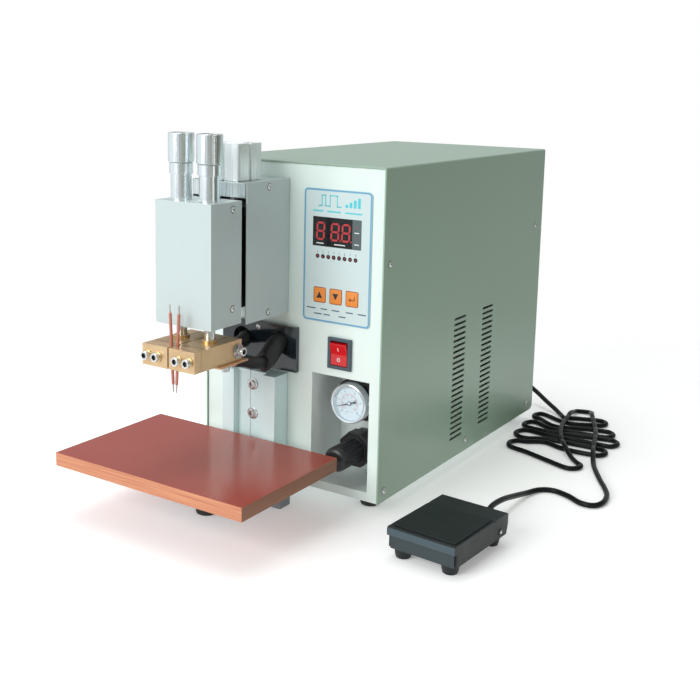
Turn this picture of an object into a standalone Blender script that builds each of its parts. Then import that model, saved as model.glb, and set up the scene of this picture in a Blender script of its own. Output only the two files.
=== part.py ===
"""Dual-plunger bench spot welder with a pneumatic head, a phenolic table and a foot pedal.

Metres, +Z up, front towards -Y. Every piece is drawn in the cabinet's own frame: X from the cabinet's left
side, Y from its front, Z from the floor. One empty then moves them all, so that the world's origin lies on
the floor under the middle of the object without its lead.
"""

import math

import bmesh
import bpy
from mathutils import Matrix, Vector

GAP = 0.0003

# Cabinet
CABINET_WIDTH = 0.209
CABINET_DEPTH = 0.377
CABINET_BASE = 0.013
CABINET_TOP = CABINET_BASE + 0.320
SHEET = 0.0015
COVER_CORNER = 0.006
PANEL_FRONT = SHEET
PANEL_BACK = CABINET_DEPTH - SHEET
FOOT_RADIUS = 0.010
FOOT_INSET_X = 0.024
FOOT_INSET_Y = 0.028

# Vent slots in both sides of the cover
VENT_ROWS = 23
VENT_PITCH = 0.00594
VENT_HEIGHT = 0.0026
VENT_LOW = 0.0339
VENT_COLUMNS = ((0.1505, 0.1785), (0.2195, 0.2465))

# Front panel
OVERLAY_LOW = (0.120, 0.182)
OVERLAY_HIGH = (0.195, 0.3095)
OVERLAY_CORNER = 0.004
OVERLAY_FRONT = 0.0003
OVERLAY_BACK = PANEL_FRONT - GAP
KEY_CENTRES_X = (0.1392, 0.1573, 0.1754)
KEY_CENTRE_Z = 0.2080
KEY_WIDTH = 0.0135
KEY_HEIGHT = 0.0145
SWITCH_CENTRE = (0.1634, 0.1537)
SWITCH_WIDTH = 0.026
SWITCH_HEIGHT = 0.0306
WINDOW_LOW = (0.1314, 0.022)
WINDOW_HIGH = (0.196, 0.130)
RECESS_DEPTH = 0.0538
RECESS_WALL = 0.0012
RECESS_FRONT = PANEL_FRONT + SHEET + GAP
RECESS_BACK = RECESS_FRONT + RECESS_DEPTH - RECESS_WALL

# Air controls
AIR_AXIS_X = 0.1687
GAUGE_Z = 0.103
GAUGE_RADIUS = 0.0199
GAUGE_BLOCK_HALF = 0.018
GAUGE_BLOCK_CHAMFER = 0.004
REGULATOR_Z = 0.053
REGULATOR_RADIUS = 0.0123
REGULATOR_HALF = 0.012

# Head, all of it centred on one plane
HEAD_X = 0.070
HEAD_HALF = 0.0325
HEAD_FRONT = -0.1175
HEAD_BACK = -0.0740
HEAD_LOW = 0.1885
HEAD_HIGH = 0.3015
PLUNGER_OFFSET = 0.0165
PLUNGER_Y = -0.100
PLUNGER_RADIUS = 0.005
HOUSING_FRONT = -0.0665
HOUSING_LOW = 0.1855
HOUSING_HIGH = 0.317
CYLINDER_SIDE = 0.036
CYLINDER_Y = -0.0425
CYLINDER_HIGH = 0.3515
TOP_PLATE_LOW = 0.3025
RAIL_WIDTH = 0.018
RAIL_FRONT = -0.013
CARRIAGE_LOW = 0.200
CARRIAGE_HIGH = 0.285

# Arms and electrodes
ARM_LOW = 0.1535
ARM_HIGH = 0.173
ARM_WIDTH = 0.030
ARM_GAP = 0.0007
ARM_BACK = -0.071
JAW_FRONT = -0.138
JAW_BACK = -0.1290
ARM_FRONT = -0.1287
ELECTRODE_Y = -0.12885
ELECTRODE_TOP = (0.0055, 0.2108)
ELECTRODE_TIP = (0.0017, 0.1295)
SHEATH_RADIUS = 0.0014
NEEDLE_RADIUS = 0.00075
NEEDLE_LENGTH = 0.008

# Holes for the weld cables
CABLE_HOLES = ((0.0495, 0.1540), (0.0945, 0.1550))

# Column, table and its support
COLUMN_FRONT = -0.0205
COLUMN_TOP = 0.1245
TABLE_LOW = (-0.040, -0.172, 0.049)
TABLE_HIGH = (0.180, -0.027, 0.062)
BRACKET_HALF = 0.053
BRACKET_LEG = (-0.038, -0.021)
BRACKET_FRONT = -0.130
BRACKET_SHEET = 0.006
LEVELLING_FOOT_Y = -0.084

# Foot pedal, in its own frame: origin under its middle
PEDAL_X = 0.295
PEDAL_Y = -0.022
PEDAL_TURN = math.radians(-3.6)
PEDAL_HALF_WIDTH = 0.034
PEDAL_HALF_LENGTH = 0.0475
PEDAL_TOP = 0.029
PEDAL_SHEET = 0.002
PEDAL_PIN = (0.034, 0.015)
PEDAL_CORD = (0.0085, 0.015)

# Lead of the pedal
CORD_RADIUS = 0.0025
GLAND = (0.165, 0.045)
GLAND_END = 0.3917
HANK_CENTRE = (0.279, 0.306)
HANK_HALF = (0.060, 0.084)
HANK_CORNER = 0.030
HANK_HEIGHT = 0.020

# The object's reach without its lead, which sets where the origin lies
PEDAL_REACH = PEDAL_HALF_WIDTH * math.cos(PEDAL_TURN) + PEDAL_HALF_LENGTH * math.sin(-PEDAL_TURN)
NIPPLE_END = 0.398
ORIGIN_X = (TABLE_LOW[0] + PEDAL_X + PEDAL_REACH) / 2
ORIGIN_Y = (TABLE_LOW[1] + NIPPLE_END) / 2


def clear_scene():
    for obj in list(bpy.data.objects):
        bpy.data.objects.remove(obj, do_unlink=True)


def material(name, colour, roughness, metallic=0.0):
    made = bpy.data.materials.new(name)
    made.use_nodes = True
    shader = made.node_tree.nodes["Principled BSDF"]
    shader.inputs["Base Color"].default_value = (*colour, 1.0)
    shader.inputs["Roughness"].default_value = roughness
    shader.inputs["Metallic"].default_value = metallic
    return made


# Shapes. Each returns a bmesh that later calls may join, cut or place.


def box(low, high):
    mesh = bmesh.new()
    bmesh.ops.create_cube(mesh, size=1.0)
    size = [b - a for a, b in zip(low, high)]
    middle = [(a + b) / 2 for a, b in zip(low, high)]
    bmesh.ops.transform(
        mesh, matrix=Matrix.Translation(middle) @ Matrix.Diagonal((*size, 1.0)), verts=mesh.verts
    )
    return mesh


def boxes(bounds):
    """Several boxes that don't meet, as one cutter."""
    mesh = bmesh.new()
    for low, high in bounds:
        corners = bmesh.ops.create_cube(mesh, size=1.0)["verts"]
        size = [b - a for a, b in zip(low, high)]
        middle = [(a + b) / 2 for a, b in zip(low, high)]
        bmesh.ops.transform(
            mesh, matrix=Matrix.Translation(middle) @ Matrix.Diagonal((*size, 1.0)), verts=corners
        )
    return mesh


def prism(outline, axis, low, high):
    """A flat outline of (first, second) coordinates pushed along X, Y or Z."""
    places = {"X": lambda a, b, t: (t, a, b), "Y": lambda a, b, t: (a, t, b), "Z": lambda a, b, t: (a, b, t)}
    place = places[axis]
    mesh = bmesh.new()
    start = [mesh.verts.new(place(a, b, low)) for a, b in outline]
    end = [mesh.verts.new(place(a, b, high)) for a, b in outline]
    count = len(outline)
    mesh.faces.new(start)
    mesh.faces.new(end)
    for i in range(count):
        j = (i + 1) % count
        mesh.faces.new((start[i], start[j], end[j], end[i]))
    bmesh.ops.recalc_face_normals(mesh, faces=mesh.faces)
    return mesh


def turned(profile, sides, start=(0, 0, 0), along=(0, 0, 1)):
    """A profile of (radius, height) turned about an axis from start, its ends closed with flat faces."""
    mesh = bmesh.new()
    rings = []
    for radius, height in profile:
        turns = [2 * math.pi * k / sides for k in range(sides)]
        rings.append(
            [mesh.verts.new((radius * math.cos(t), radius * math.sin(t), height)) for t in turns]
        )
    for lower, upper in zip(rings, rings[1:]):
        for k in range(sides):
            j = (k + 1) % sides
            mesh.faces.new((lower[k], lower[j], upper[j], upper[k]))
    mesh.faces.new(rings[0])
    mesh.faces.new(rings[-1])
    bmesh.ops.recalc_face_normals(mesh, faces=mesh.faces)
    turn = Vector(along).to_track_quat("Z", "Y").to_matrix().to_4x4()
    bmesh.ops.transform(mesh, matrix=Matrix.Translation(start) @ turn, verts=mesh.verts)
    return mesh


def rod(start, end, radius, sides=16):
    run = Vector(end) - Vector(start)
    return turned(((radius, 0.0), (radius, run.length)), sides, start, run)


def rounded(low, high, radius, steps=4):
    """The outline of a rectangle with round corners."""
    corners = (
        (high[0] - radius, high[1] - radius, 0.0),
        (low[0] + radius, high[1] - radius, 0.5),
        (low[0] + radius, low[1] + radius, 1.0),
        (high[0] - radius, low[1] + radius, 1.5),
    )
    return [
        (x + radius * math.cos(math.pi * (turn + 0.5 * k / steps)),
         y + radius * math.sin(math.pi * (turn + 0.5 * k / steps)))
        for x, y, turn in corners
        for k in range(steps + 1)
    ]


def smooth_route(points, step):
    """Points a step apart along a smooth curve through the given ones."""
    knots = [Vector(p) for p in points]
    padded = [2 * knots[0] - knots[1], *knots, 2 * knots[-1] - knots[-2]]
    fine = []
    for i in range(len(knots) - 1):
        a, b, c, d = padded[i:i + 4]
        for k in range(40):
            t = k / 40
            fine.append(
                0.5 * (2 * b + (c - a) * t + (2 * a - 5 * b + 4 * c - d) * t * t
                       + (3 * b - a - 3 * c + d) * t ** 3)
            )
    fine.append(knots[-1])
    total = sum((q - p).length for p, q in zip(fine, fine[1:]))
    count = round(total / step)
    spaced = [fine[0]]
    done = 0.0
    for p, q in zip(fine, fine[1:]):
        length = (q - p).length
        while len(spaced) < count and done + length >= len(spaced) * total / count:
            spaced.append(p.lerp(q, (len(spaced) * total / count - done) / length))
        done += length
    spaced.append(fine[-1])
    return spaced


# Objects


def place(name, mesh, finish, origin=(0, 0, 0), parent=None):
    """Makes the object, with its own origin at the point given."""
    bmesh.ops.translate(mesh, vec=-Vector(origin), verts=mesh.verts)
    data = bpy.data.meshes.new(name)
    mesh.to_mesh(data)
    mesh.free()
    data.shade_smooth()
    data.set_sharp_from_angle(angle=math.radians(35))
    data.materials.append(finish)
    obj = bpy.data.objects.new(name, data)
    obj.location = origin
    obj.parent = parent or WELDER
    bpy.context.scene.collection.objects.link(obj)
    return obj


def boolean(obj, mesh, operation):
    other = place(f"{obj.name}_{operation.lower()}_{len(obj.modifiers)}", mesh, STEEL, parent=obj.parent)
    other.hide_render = True
    other.display_type = "WIRE"
    change = obj.modifiers.new(other.name, "BOOLEAN")
    change.operation = operation
    change.object = other


def cut(obj, *meshes):
    for mesh in meshes:
        boolean(obj, mesh, "DIFFERENCE")


def join(obj, *meshes):
    for mesh in meshes:
        boolean(obj, mesh, "UNION")


def bevel(obj, width):
    change = obj.modifiers.new("bevel", "BEVEL")
    change.width = width
    change.segments = 1
    change.limit_method = "ANGLE"
    change.angle_limit = math.radians(40)


def tube(name, points, radius, finish, resolution=2):
    """A round tube with filled caps along a list of points."""
    curve = bpy.data.curves.new(name, "CURVE")
    curve.dimensions = "3D"
    curve.bevel_depth = radius
    curve.bevel_resolution = resolution
    curve.use_fill_caps = True
    spline = curve.splines.new("POLY")
    spline.points.add(len(points) - 1)
    for point, place_ in zip(spline.points, points):
        point.co = (*place_, 1.0)
    curve.materials.append(finish)
    obj = bpy.data.objects.new(name, curve)
    obj.parent = WELDER
    bpy.context.scene.collection.objects.link(obj)
    return obj


def chassis():
    """One sheet bent into the front panel, the base and the back panel."""
    low, high = CABINET_BASE, CABINET_TOP - SHEET - GAP
    outline = (
        (PANEL_FRONT, low), (PANEL_BACK, low), (PANEL_BACK, high), (PANEL_BACK - SHEET, high),
        (PANEL_BACK - SHEET, low + SHEET), (PANEL_FRONT + SHEET, low + SHEET),
        (PANEL_FRONT + SHEET, high), (PANEL_FRONT, high),
    )
    side = SHEET + GAP
    obj = place("chassis", prism(outline, "X", side, CABINET_WIDTH - side), PANEL_PAINT)
    front = (-0.005, 0.005)
    switch_x, switch_z = SWITCH_CENTRE
    holes = [
        ((WINDOW_LOW[0], front[0], WINDOW_LOW[1]), (WINDOW_HIGH[0], front[1], WINDOW_HIGH[1])),
        ((switch_x - 0.0113, front[0], switch_z - 0.0133), (switch_x + 0.0113, front[1], switch_z + 0.0133)),
        ((0.028, front[0], 0.137), (0.064, front[1], 0.1705)),
        ((0.076, front[0], 0.137), (0.112, front[1], 0.1705)),
        ((0.0407, 0.370, 0.0437), (0.0693, 0.380, 0.0643)),
    ]
    cut(obj, boxes(holes))
    for x, z in (GLAND, (0.110, 0.060)):
        cut(obj, rod((x, 0.370, z), (x, 0.380, z), 0.0065))


def cabinet_cover():
    """The top and both sides, folded from one sheet, with its rear corners rounded and vents in both sides."""
    steps = [math.pi / 2 * k / 5 for k in range(6)]
    back, top, low = CABINET_DEPTH, CABINET_TOP, CABINET_BASE
    high_corner = [
        (back - COVER_CORNER * (1 - math.cos(t)), top - COVER_CORNER * (1 - math.sin(t)))
        for t in steps
    ]
    low_corner = [
        (back - COVER_CORNER * (1 - math.sin(t)), low + COVER_CORNER * (1 - math.cos(t)))
        for t in steps
    ]
    outline = [(0.0, low), *low_corner, *high_corner, (0.0, top)]
    obj = place("cabinet_cover", prism(outline, "X", 0.0, CABINET_WIDTH), COVER_PAINT)
    inside = box((SHEET, -0.01, 0.0), (CABINET_WIDTH - SHEET, back + 0.01, top - SHEET))
    rows = [VENT_LOW + row * VENT_PITCH for row in range(VENT_ROWS)]
    slots = [
        ((-0.01, start, z), (CABINET_WIDTH + 0.01, end, z + VENT_HEIGHT))
        for start, end in VENT_COLUMNS
        for z in rows
    ]
    cut(obj, inside, boxes(slots))


def feet():
    for side, x in (("left", FOOT_INSET_X), ("right", CABINET_WIDTH - FOOT_INSET_X)):
        for end, y in (("front", FOOT_INSET_Y), ("rear", CABINET_DEPTH - FOOT_INSET_Y)):
            profile = ((FOOT_RADIUS * 0.88, 0.0), (FOOT_RADIUS, 0.0015), (FOOT_RADIUS, CABINET_BASE - GAP))
            place(f"foot_{end}_{side}", turned(profile, 20, (x, y, 0)), RUBBER, (x, y, 0))


def regulator_box():
    """A folded box behind the window, open at the front."""
    wall = RECESS_WALL
    low = (WINDOW_LOW[0] - wall, RECESS_FRONT, WINDOW_LOW[1] - wall)
    high = (WINDOW_HIGH[0] + wall, RECESS_BACK + wall, WINDOW_HIGH[1] + wall)
    obj = place("regulator_box", box(low, high), PANEL_PAINT)
    cut(obj, box((WINDOW_LOW[0], 0.0, WINDOW_LOW[1]), (WINDOW_HIGH[0], RECESS_BACK, WINDOW_HIGH[1])))


def gauge():
    """A round gauge on its block against the recess wall, its pointer on a pin in front of the dial."""
    centre = (AIR_AXIS_X, 0.008, GAUGE_Z)
    rim = GAUGE_RADIUS
    profile = ((rim - 0.0022, 0.0), (rim, 0.0012), (rim, 0.0095), (0.006, 0.0110), (0.006, 0.0137))
    case = place("gauge_case", turned(profile, 32, centre, (0, 1, 0)), CHROME, centre)
    half, side = GAUGE_BLOCK_HALF, GAUGE_BLOCK_HALF - GAUGE_BLOCK_CHAMFER
    block = [
        (AIR_AXIS_X + a, GAUGE_Z + b)
        for a, b in ((half, side), (side, half), (-side, half), (-half, side),
                     (-half, -side), (-side, -half), (side, -half), (half, -side))
    ]
    join(case, prism(block, "Y", 0.0215, RECESS_BACK - GAP))
    cut(case, turned(((rim - 0.0030, -0.001), (rim - 0.0030, 0.0040)), 32, centre, (0, 1, 0)))
    rest = math.radians(200)
    hub = 0.0022
    point = Vector((math.cos(rest), math.sin(rest)))
    across = Vector((-point.y, point.x))
    outline = [
        point * 0.0150 + across * 0.0002, point * hub + across * 0.0007,
        *[point * hub * math.cos(t) + across * hub * math.sin(t)
          for t in (math.radians(35 + 22 * k) for k in range(6))],
        point * -0.0062 + across * 0.0010, point * -0.0062 - across * 0.0010,
        *[point * hub * math.cos(t) - across * hub * math.sin(t)
          for t in (math.radians(145 - 22 * k) for k in range(6))],
        point * hub - across * 0.0007, point * 0.0150 - across * 0.0002,
    ]
    outline = [(centre[0] + p.x, centre[2] + p.y) for p in outline]
    place("gauge_needle", prism(outline, "Y", 0.0098, 0.0108), BLACK_PLASTIC, (centre[0], 0.0103, centre[2]))


def regulator():
    """The body on the recess wall, its eight-sided collar, the spindle and the fluted knob on it."""
    x, z, half = AIR_AXIS_X, REGULATOR_Z, REGULATOR_HALF
    corners = [math.radians(22.5 + 45 * k) for k in range(8)]
    collar = [(x + 0.0185 * math.cos(t), z + 0.0185 * math.sin(t)) for t in corners]
    body = place(
        "regulator_body", box((x - half, 0.0320, z - half), (x + half, RECESS_BACK - GAP, z + half)), BLACK_PLASTIC
    )
    join(body, prism(collar, "Y", 0.0223, 0.036))
    cut(body, rod((x, 0.010, z), (x, 0.0315, z), 0.0034))
    place("regulator_spindle", rod((x, -0.005, z), (x, 0.0308, z), 0.0030), STEEL, (x, 0.0, z))
    flutes = 14
    turns = [math.pi * k / flutes for k in range(2 * flutes)]
    reaches = [REGULATOR_RADIUS - 0.0007 * (k % 2) for k in range(2 * flutes)]
    outline = [(x + r * math.cos(t), z + r * math.sin(t)) for r, t in zip(reaches, turns)]
    knob = place("regulator_knob", prism(outline, "Y", -0.0085, 0.0205), BLACK_PLASTIC, (x, -0.015, z))
    cap = ((0.0095, 0.0), (REGULATOR_RADIUS, 0.0022), (REGULATOR_RADIUS, 0.0080))
    join(knob, turned(cap, 28, (x, -0.015, z), (0, 1, 0)))
    cut(knob, rod((x, -0.0075, z), (x, 0.030, z), 0.0034))


def control_panel():
    overlay = prism(rounded(OVERLAY_LOW, OVERLAY_HIGH, OVERLAY_CORNER), "Y", OVERLAY_FRONT, OVERLAY_BACK)
    obj = place("control_overlay", overlay, OVERLAY_FILM)
    low = KEY_CENTRE_Z - KEY_HEIGHT / 2
    high = KEY_CENTRE_Z + KEY_HEIGHT / 2
    openings = []
    for name, x in zip(("key_up", "key_down", "key_set"), KEY_CENTRES_X):
        left, right = x - KEY_WIDTH / 2, x + KEY_WIDTH / 2
        key = box((left + GAP, -0.0004, low + GAP), (right - GAP, 0.0009, high - GAP))
        place(name, key, KEY_ORANGE, (x, 0.0, KEY_CENTRE_Z))
        openings.append(((left, -0.005, low), (right, 0.005, high)))
    cut(obj, boxes(openings))
    place("control_board", box((0.119, 0.012, 0.184), (0.199, 0.0136, 0.312)), BOARD_GREEN)


def rocker_switch():
    """A snap-in housing with a bezel; the rocker rests with its lower end pressed in."""
    x, z = SWITCH_CENTRE
    half_x, half_z = SWITCH_WIDTH / 2, SWITCH_HEIGHT / 2
    rim = box((x - half_x, -0.002, z - half_z), (x + half_x, 0.0012, z + half_z))
    bezel = place("rocker_bezel", rim, DARK_PLASTIC)
    join(bezel, box((x - 0.011, 0.0, z - 0.013), (x + 0.011, 0.022, z + 0.013)))
    cut(bezel, box((x - 0.0095, -0.01, z - 0.012), (x + 0.0095, 0.0195, z + 0.012)))
    pivot = Vector((0.003, z))
    half, flare = 0.0109, math.radians(7)
    neutral = (
        (-0.005, 0.0), (-0.005 - half * math.tan(flare), half), (0.0, half), (0.006, 0.005),
        (0.006, -0.005), (0.0, -half), (-0.005 - half * math.tan(flare), -half),
    )
    rest = Matrix.Rotation(flare, 2)
    outline = [tuple(pivot + rest @ Vector(point)) for point in neutral]
    place("rocker", prism(outline, "X", x - 0.0092, x + 0.0092), SWITCH_RED, (x, pivot.x, z))


def cabinet_insides():
    """The weld transformer, and the valve that feeds the head's cylinder."""
    floor = CABINET_BASE + SHEET + GAP
    core = place("transformer_core", box((0.030, 0.140, floor), (0.150, 0.200, floor + 0.100)), LAMINATIONS)
    cut(core, boxes([
        ((0.050, 0.130, floor + 0.020), (0.070, 0.210, floor + 0.080)),
        ((0.110, 0.130, floor + 0.020), (0.130, 0.210, floor + 0.080)),
    ]))
    coil = place(
        "transformer_winding",
        box((0.0505, 0.120, floor + 0.0205), (0.1295, 0.220, floor + 0.0795)),
        COPPER,
    )
    cut(coil, box((0.0695, 0.1395, 0.0), (0.1105, 0.2005, 0.200)))
    valve = (
        (0.080, floor), (0.150, floor), (0.150, floor + 0.022), (0.118, floor + 0.022),
        (0.118, floor + 0.052), (0.092, floor + 0.052), (0.092, floor + 0.022), (0.080, floor + 0.022),
    )
    place("solenoid_valve", prism(valve, "X", 0.168, 0.190), BLACK_PLASTIC)


def rear_fittings():
    inlet = place("mains_inlet", box((0.030, PANEL_BACK + GAP, 0.040), (0.080, 0.3785, 0.068)), BLACK_PLASTIC)
    join(inlet, box((0.041, 0.352, 0.044), (0.069, 0.377, 0.064)))
    cut(inlet, box((0.043, 0.362, 0.046), (0.067, 0.390, 0.062)))
    start = (0.110, 0.364, 0.060)
    nipple = (
        (0.006, 0.0), (0.006, 0.0120), (0.0085, 0.0120), (0.0085, 0.0180), (0.0050, 0.0190),
        (0.0050, 0.0260), (0.0038, 0.0275), (0.0050, 0.0290), (0.0042, NIPPLE_END - start[1]),
    )
    fitting = place("air_inlet", turned(nipple, 20, start, (0, 1, 0)), BRASS)
    cut(fitting, rod((0.110, 0.385, 0.060), (0.110, 0.410, 0.060), 0.0019, 12))
    start = (GLAND[0], 0.366, GLAND[1])
    gland = (
        (0.0060, 0.0), (0.0060, 0.0100), (0.0090, 0.0100), (0.0090, 0.0150), (0.0070, 0.0175),
        (0.0040, GLAND_END - start[1]),
    )
    place("cord_gland", turned(gland, 20, start, (0, 1, 0)), BLACK_PLASTIC)


def column():
    """An aluminium extrusion with a recess down its front and a bolt slot in the recess."""
    left, right, back = HEAD_X - HEAD_HALF, HEAD_X + HEAD_HALF, PANEL_FRONT - GAP
    recess, floor = 0.0178, COLUMN_FRONT + 0.0075
    slot = 0.0028
    outline = (
        (left, back), (left, COLUMN_FRONT), (HEAD_X - recess, COLUMN_FRONT), (HEAD_X - recess, floor),
        (HEAD_X - slot, floor), (HEAD_X - slot, floor + 0.004), (HEAD_X + slot, floor + 0.004),
        (HEAD_X + slot, floor), (HEAD_X + recess, floor), (HEAD_X + recess, COLUMN_FRONT),
        (right, COLUMN_FRONT), (right, back),
    )
    place("column", prism(outline, "Z", CABINET_BASE, COLUMN_TOP), ALUMINIUM)


def table():
    plate = place("table_plate", box(TABLE_LOW, TABLE_HIGH), PHENOLIC)
    bevel(plate, 0.0006)
    under = TABLE_LOW[2] - GAP
    outline = (
        (BRACKET_LEG[0], 0.0), (BRACKET_LEG[1], 0.0), (BRACKET_LEG[1], under), (BRACKET_FRONT, under),
        (BRACKET_FRONT, under - BRACKET_SHEET), (BRACKET_LEG[0], under - BRACKET_SHEET),
    )
    place("table_bracket", prism(outline, "X", HEAD_X - BRACKET_HALF, HEAD_X + BRACKET_HALF), GREY_PAINT)
    profile = (
        (0.0090, 0.0), (0.0105, 0.0015), (0.0105, 0.0080), (0.0085, 0.0110),
        (0.0040, 0.0110), (0.0040, under - BRACKET_SHEET - GAP),
    )
    place("levelling_foot", turned(profile, 20, (HEAD_X, LEVELLING_FOOT_Y, 0)), RUBBER)


def cable_plate():
    sheet = box((HEAD_X - 0.0455, -0.0035, 0.1273), (HEAD_X + 0.0455, 0.0012, 0.1725))
    obj = place("cable_plate", sheet, BLACK_SHEET)
    for x, z in CABLE_HOLES:
        cut(obj, rod((x, -0.01, z), (x, 0.01, z), 0.0108, 24))


def slide():
    """The fixed half of the head: sheet housing, rail, top plate and air cylinder; then the moving carriage."""
    left, right = HEAD_X - HEAD_HALF, HEAD_X + HEAD_HALF
    back = PANEL_FRONT - GAP
    outline = (
        (left, HOUSING_FRONT), (left + SHEET, HOUSING_FRONT), (left + SHEET, back - SHEET),
        (right - SHEET, back - SHEET), (right - SHEET, HOUSING_FRONT), (right, HOUSING_FRONT),
        (right, back), (left, back),
    )
    place("slide_housing", prism(outline, "Z", HOUSING_LOW, HOUSING_HIGH), HEAD_PAINT)
    inner = SHEET + GAP
    wall = back - SHEET - GAP
    top = HOUSING_HIGH - 0.0005
    slab = box((left + inner, HOUSING_FRONT - 0.0005, TOP_PLATE_LOW), (right - inner, wall, top))
    plate = place("top_plate", slab, ALUMINIUM)
    cut(plate, rod((HEAD_X, CYLINDER_Y, 0.290), (HEAD_X, CYLINDER_Y, 0.330), 0.0054))
    half_rail = RAIL_WIDTH / 2
    place("slide_rail", box((HEAD_X - half_rail, RAIL_FRONT, 0.190), (HEAD_X + half_rail, wall, 0.300)), STEEL)

    x, y = HEAD_X, CYLINDER_Y
    half, low = CYLINDER_SIDE / 2, top + GAP
    outline = rounded((x - half, y - half), (x + half, y + half), 0.0022, 2)
    cylinder = place("air_cylinder", prism(outline, "Z", low, CYLINDER_HIGH), ALUMINIUM)
    slot, inward, outward = 0.0013, half - 0.0030, half + 0.01
    under, above = 0.300, 0.360
    cut(cylinder, boxes([
        ((x - slot, y - outward, under), (x + slot, y - inward, above)),
        ((x - slot, y + inward, under), (x + slot, y + outward, above)),
        ((x - outward, y - slot, under), (x - inward, y + slot, above)),
        ((x + inward, y - slot, under), (x + outward, y + slot, above)),
    ]))
    cut(cylinder, rod((x, y, under), (x, y, 0.3485), 0.0054))
    place("piston_rod", rod((x, y, CARRIAGE_HIGH + GAP), (x, y, 0.3455), 0.005), CHROME)

    groove = half_rail + GAP
    front, back = HEAD_BACK + 0.0048, -0.004
    outline = (
        (HEAD_X - 0.024, front), (HEAD_X + 0.024, front), (HEAD_X + 0.024, back), (HEAD_X + groove, back),
        (HEAD_X + groove, RAIL_FRONT - GAP), (HEAD_X - groove, RAIL_FRONT - GAP), (HEAD_X - groove, back),
        (HEAD_X - 0.024, back),
    )
    place("carriage", prism(outline, "Z", CARRIAGE_LOW, CARRIAGE_HIGH), BLACK_ANODISED)


def head():
    """The moving head: a bored block, its cover, and for each plunger a spring tube with its knob."""
    left, right = HEAD_X - HEAD_HALF, HEAD_X + HEAD_HALF
    plungers = (("left", HEAD_X - PLUNGER_OFFSET), ("right", HEAD_X + PLUNGER_OFFSET))
    inner = SHEET + 2 * GAP
    frame_top = HEAD_HIGH - 0.0020
    block = box((left + inner, HEAD_FRONT + inner, 0.190), (right - inner, -0.078, frame_top))
    frame = place("head_frame", block, ALUMINIUM)
    join(frame, box((HEAD_X - 0.022, -0.082, CARRIAGE_LOW), (HEAD_X + 0.022, -0.070, CARRIAGE_HIGH)))
    cover = place("head_cover", box((left, HEAD_FRONT, HEAD_LOW), (right, HEAD_BACK, HEAD_HIGH)), HEAD_PAINT)
    cut(cover, box((left + SHEET, HEAD_FRONT + SHEET, 0.150), (right - SHEET, 0.0, HEAD_HIGH - SHEET)))
    for side, x in plungers:
        axis = (x, PLUNGER_Y)
        cut(frame, turned(
            ((0.0053, 0.0), (0.0053, 0.082), (0.0075, 0.082), (0.0075, 0.130)), 20, (*axis, 0.180)
        ))
        cut(cover, rod((*axis, 0.290), (*axis, 0.310), 0.0099, 24))
        stem, collar = 0.0095, 0.0108
        tube_profile = ((stem, 0.0), (stem, 0.0252), (collar, 0.0252), (collar, 0.0349))
        start = (*axis, frame_top + GAP)
        holder = place(f"spring_tube_{side}", turned(tube_profile, 24, start), NICKEL, start)
        cut(holder, turned(((0.0075, -0.01), (0.0075, 0.0315), (0.0034, 0.0315), (0.0034, 0.050)), 20, start))
        cap = (
            (0.0030, 0.318), (0.0030, 0.3352), (0.0116, 0.3352), (0.0119, 0.3358), (0.0119, 0.3609),
            (0.0113, 0.3615),
        )
        place(f"knob_{side}", turned(cap, 28, (*axis, 0.0)), NICKEL, (*axis, 0.3352))
        plunger = (
            (PLUNGER_RADIUS, 0.156), (PLUNGER_RADIUS, 0.2623), (0.0070, 0.2623), (0.0070, 0.2650),
        )
        place(f"plunger_{side}", turned(plunger, 20, (*axis, 0.0)), CHROME, (*axis, 0.0))
        spring(f"spring_{side}", axis, 0.2656, 0.3174)


def spring(name, axis, low, high, radius=0.0058, wire=0.0007, turns=7, steps=10):
    """A coil spring between two heights, as a tube along a helix."""
    count = turns * steps
    points = [
        (axis[0] + radius * math.cos(2 * math.pi * k / steps),
         axis[1] + radius * math.sin(2 * math.pi * k / steps),
         low + wire + (high - low - 2 * wire) * k / count)
        for k in range(count + 1)
    ]
    tube(name, points, wire, STEEL, resolution=1)


def electrode_line(sign):
    """The two ends of an electrode, which lean towards each other."""
    top = Vector((HEAD_X + sign * ELECTRODE_TOP[0], ELECTRODE_Y, ELECTRODE_TOP[1]))
    tip = Vector((HEAD_X + sign * ELECTRODE_TIP[0], ELECTRODE_Y, ELECTRODE_TIP[1]))
    return tip, top


def arms():
    """For each side a brass arm on its plunger, a clamp jaw on the arm's front, and the electrode between."""
    for side, sign in (("left", -1), ("right", 1)):
        near, far = HEAD_X + sign * ARM_GAP, HEAD_X + sign * (ARM_GAP + ARM_WIDTH)
        left, right = min(near, far), max(near, far)
        axis = (HEAD_X + sign * PLUNGER_OFFSET, PLUNGER_Y)
        tip, top = electrode_line(sign)
        run = (top - tip).normalized()
        length = (top - tip).length
        groove = rod(tip, top, SHEATH_RADIUS + GAP, 12)
        arm = place(f"arm_{side}", box((left, ARM_FRONT, ARM_LOW), (right, ARM_BACK, ARM_HIGH)), BRASS)
        join(arm, rod((*axis, ARM_HIGH - 0.001), (*axis, ARM_HIGH + 0.003), 0.0072, 20))
        cut(arm, rod((*axis, ARM_LOW + 0.002), (*axis, 0.190), 0.0053, 20), groove)
        jaw = place(f"jaw_{side}", box((left, JAW_FRONT, ARM_LOW), (right, JAW_BACK, ARM_HIGH)), BRASS)
        cut(jaw, rod(tip, top, SHEATH_RADIUS + GAP, 12))
        profile = (
            (NEEDLE_RADIUS * 0.6, 0.0), (NEEDLE_RADIUS, 0.0006), (NEEDLE_RADIUS, NEEDLE_LENGTH),
            (SHEATH_RADIUS, NEEDLE_LENGTH), (SHEATH_RADIUS, length - NEEDLE_LENGTH),
            (NEEDLE_RADIUS, length - NEEDLE_LENGTH), (NEEDLE_RADIUS, length),
        )
        place(f"electrode_{side}", turned(profile, 12, tip, run), COPPER, tuple(tip))


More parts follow.
